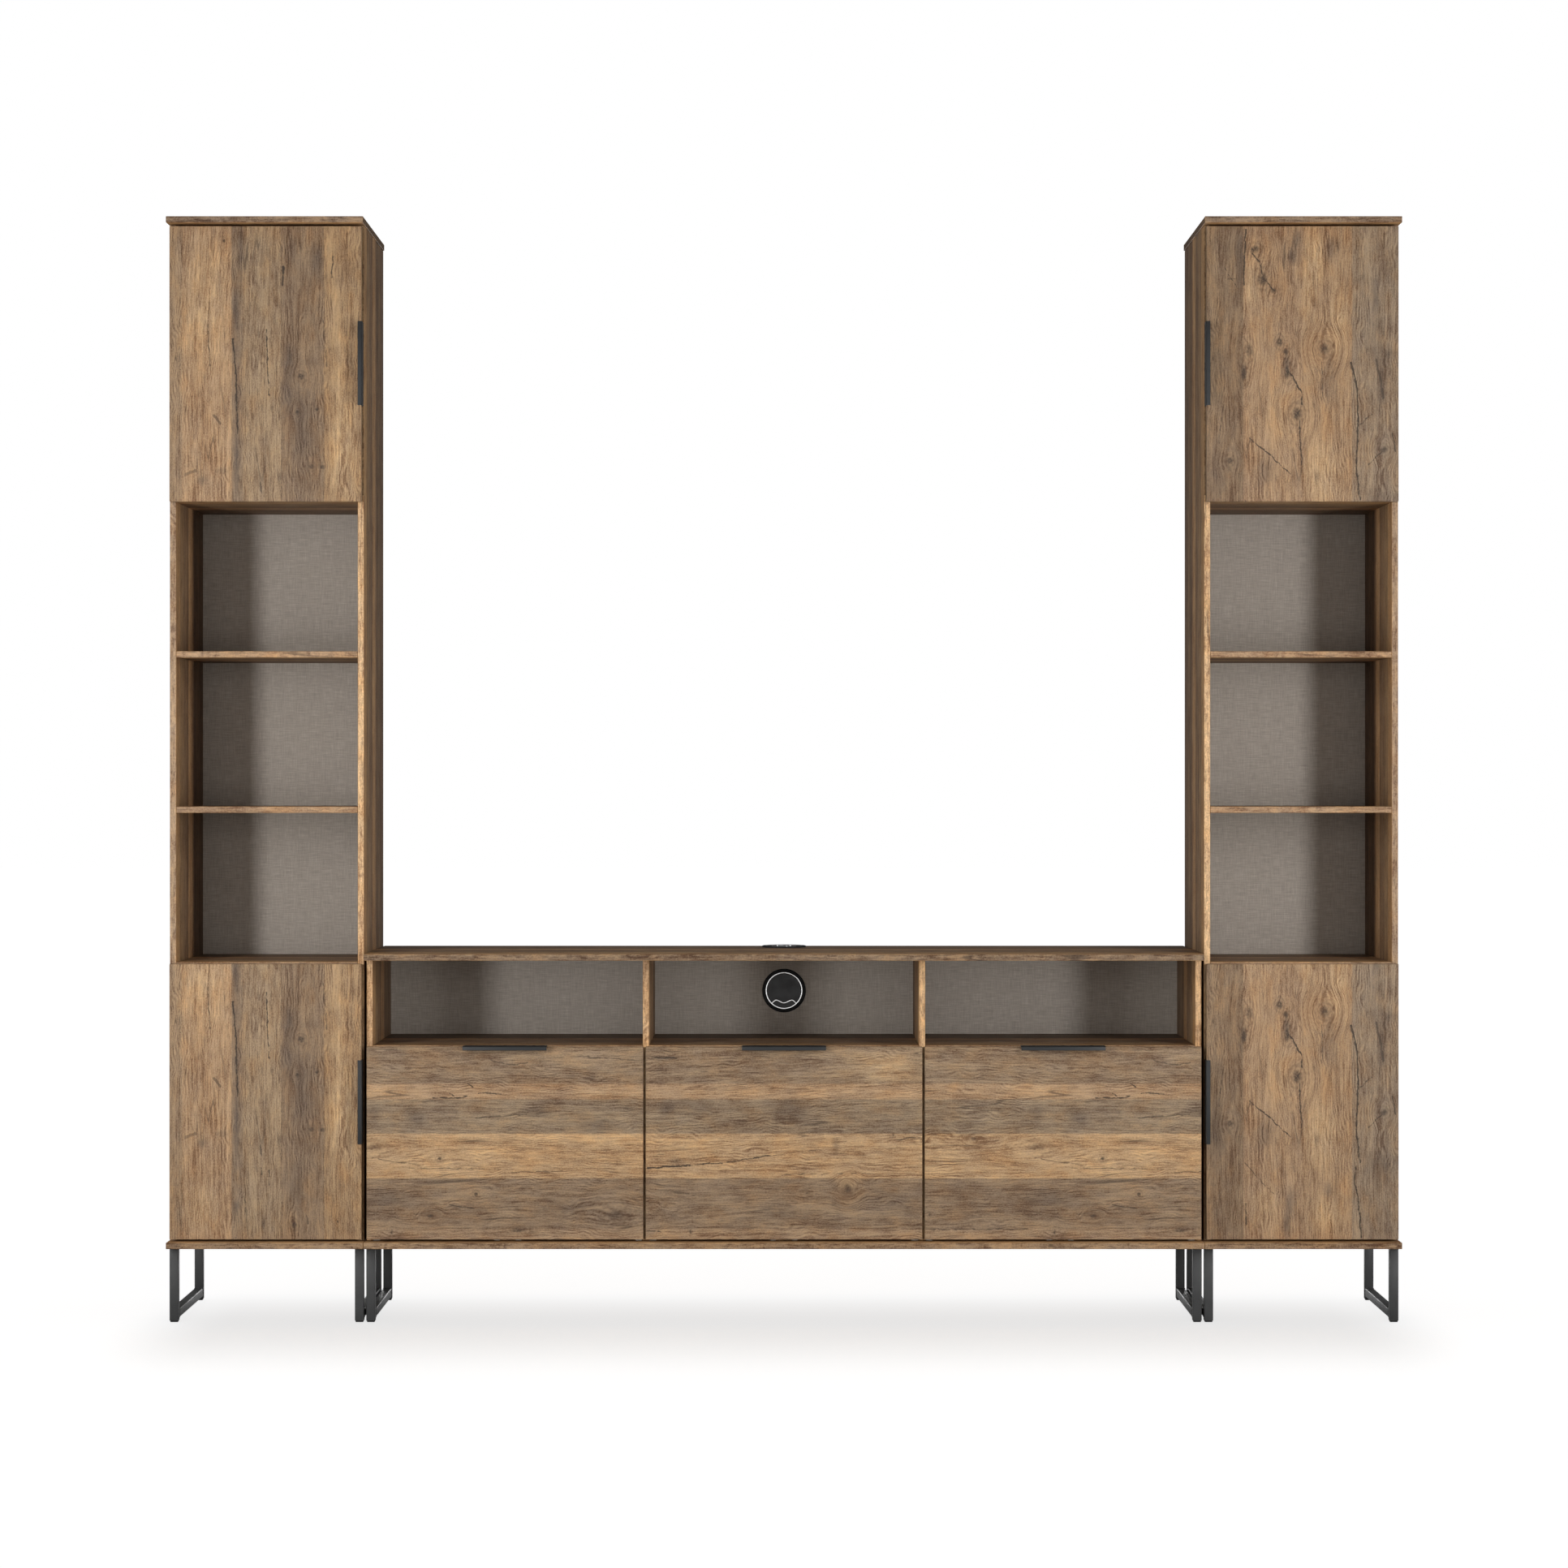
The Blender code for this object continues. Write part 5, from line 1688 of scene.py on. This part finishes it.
@dataclass
class Studio:
    """A white studio: floor, strip lights, front light, fill at the sides and back, camera."""

    eye: Point = (0.0, -7.68, 1.028)
    lens: float = 90.3
    strip_place: Pair = (1.62, -1.60)
    strip_size: Pair = (0.36, 2.30)
    strip_aim: Pair = (-0.988, 0.152)
    strip_foot: float = 0.02
    strip_power: float = 43.0
    front_place: Point = (0.0, -6.5, 1.0)
    front_aim: Point = (0.0, 0.0, 0.8)
    front_size: Pair = (4.0, 2.2)
    front_power: float = 43.0
    fill_place: Point = (4.0, 0.30, 1.02)
    fill_size: Pair = (0.9, 1.9)
    fill_power: float = 30.0
    rear_place: Point = (0.0, 3.80, 0.38)
    rear_aim: Point = (0.0, 0.0, 1.1)
    rear_size: Pair = (2.6, 0.66)
    rear_power: float = 42.0
    ambient: float = 0.16
    # Painted floor shadow: the glow inside the band round the set, and the band's shape.
    painted_shadow_glow: float = 0.700
    far_glow: float = 0.885
    painted_shadow_half_width: float = 1.05
    painted_shadow_reach: float = 0.62
    painted_shadow_ahead: float = 0.29
    painted_shadow_squeeze: float = 2.6
    floor_half: float = 40.0

    def build(self) -> None:
        """Set up everything round the object."""
        bpy.context.scene.view_settings.view_transform = "Standard"
        self.camera()
        self.world()
        floor = self.floor()
        lights = []
        for side in Side:
            x, y = side.value * self.strip_place[0], self.strip_place[1]
            z = self.strip_size[1] / 2 + self.strip_foot
            target = (x + side.value * self.strip_aim[0], y + self.strip_aim[1], z)
            lights.append(self.area_light(side.label + "_strip", (x, y, z), target, self.strip_size,
                                          self.strip_power))
        lights.append(self.area_light("front_softbox", self.front_place, self.front_aim,
                                      self.front_size, self.front_power))
        self.spare([floor], lights)
        self.spare([floor] + [bpy.data.objects[node] for node in INWARD_SIDES], self.fill_lights())

    def camera(self) -> None:
        """Place the camera square to the front."""
        data = bpy.data.cameras.new("camera")
        data.lens = self.lens
        data.clip_end = 200.0
        camera = add_object("camera", data)
        camera.location = self.eye
        camera.rotation_euler = (math.pi / 2, 0.0, 0.0)
        bpy.context.scene.camera = camera

    def world(self) -> None:
        """Show plain white behind the object and light it with a dimmer, even sky."""
        world = bpy.data.worlds.new("studio")
        bpy.context.scene.world = world
        world.use_nodes = True
        tree = world.node_tree
        sky = tree.nodes["Background"]
        rays = tree.nodes.new("ShaderNodeLightPath")
        shade = tree.nodes.new("ShaderNodeMapRange")
        tree.links.new(rays.outputs["Is Camera Ray"], shade.inputs["Value"])
        shade.inputs["To Min"].default_value = self.ambient
        tree.links.new(shade.outputs["Result"], sky.inputs["Strength"])
        sky.inputs["Color"].default_value = WHITE

    def floor(self) -> bpy.types.Object:
        """Lay a pale floor that glows evenly, but less in a soft band round the set: a painted shadow.

        The band of painted shadow follows the distance to a line under the set's front. Places past
        the line's ends count as farther by the squeeze.

        Returns:
            The floor.
        """
        half = self.floor_half
        mesh = bpy.data.meshes.new("floor")
        mesh.from_pydata([(-half, -half, 0), (half, -half, 0), (half, half, 0), (-half, half, 0)],
                         [], [(0, 1, 2, 3)])
        floor = add_object("floor", mesh)
        net = Net("pale_floor")
        place = net.place()
        tone = net.ramp(net.noise(place, (3.0, 3.0, 3.0), 2.0),
                        [(0.3, (0.78, 0.78, 0.78, 1)), (0.7, (0.80, 0.80, 0.80, 1))])
        material = net.finish(tone, 0.9, Specular_IOR_Level=0.1)
        # Painted shadow: the floor's glow dips in a soft band round the set.
        x, y, _ = net.split(place)
        past = net.calc("MAXIMUM", net.calc("SUBTRACT", net.calc("ABSOLUTE", x), self.painted_shadow_half_width),
                        0.0)
        ahead = net.calc("ADD", y, self.painted_shadow_ahead)
        past = net.calc("MULTIPLY", past, self.painted_shadow_squeeze)
        reach = net.measure("LENGTH", net.combine(past, ahead, 0.0))
        glow = net.fade(reach, 0.0, self.painted_shadow_reach, self.painted_shadow_glow, self.far_glow)
        net.shader.inputs["Emission Color"].default_value = WHITE
        net.tree.links.new(glow, net.shader.inputs["Emission Strength"])
        mesh.materials.append(material)
        floor.visible_diffuse = False
        floor.visible_glossy = False
        return floor

    def fill_lights(self) -> list[bpy.types.Object]:
        """Add a softbox beyond each end, level with the back, and a low one behind the set.

        Returns:
            The three lights.
        """
        lights = [self.area_light("rear_softbox", self.rear_place, self.rear_aim, self.rear_size,
                                  self.rear_power)]
        x, y, z = self.fill_place
        for side in Side:
            lights.append(self.area_light(side.label + "_softbox", (side.value * x, y, z), (0.0, y, z),
                                          self.fill_size, self.fill_power))
        return lights

    def spare(self, spared: list[bpy.types.Object], lights: list[bpy.types.Object]) -> None:
        """Keep the lights off some objects, so that they light only the rest.

        Args:
            spared: Objects that stay unlit by them.
            lights: The lights.
        """
        for light in lights:
            group = bpy.data.collections.new(light.name + "_spared")
            for index, item in enumerate(spared):
                group.objects.link(item)
                group.collection_objects[index].light_linking.link_state = "EXCLUDE"
            light.light_linking.receiver_collection = group

    def area_light(self, name: str, place: Point, target: Point, size: Pair,
                   power: float) -> bpy.types.Object:
        """Add a rectangular light that looks at a target.

        Args:
            name: Name of the light.
            place: Where it stands.
            target: Where it looks.
            size: Width and height.
            power: Power in watts.

        Returns:
            The light.
        """
        data = bpy.data.lights.new(name, "AREA")
        data.shape = "RECTANGLE"
        data.size, data.size_y = size
        data.energy = power
        light = add_object(name, data)
        light.location = place
        look = Vector(target) - Vector(place)
        light.rotation_euler = look.to_track_quat("-Z", "Y").to_euler()
        return light


def main() -> None:
    """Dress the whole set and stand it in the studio."""
    logging.basicConfig(level=logging.INFO, format="%(message)s")
    Studio().build()
    finishes = Finishes()
    for side in Side:
        Tower(side, finishes).build()
    Console(finishes).build()
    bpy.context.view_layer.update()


if __name__ == "__main__":
    main()
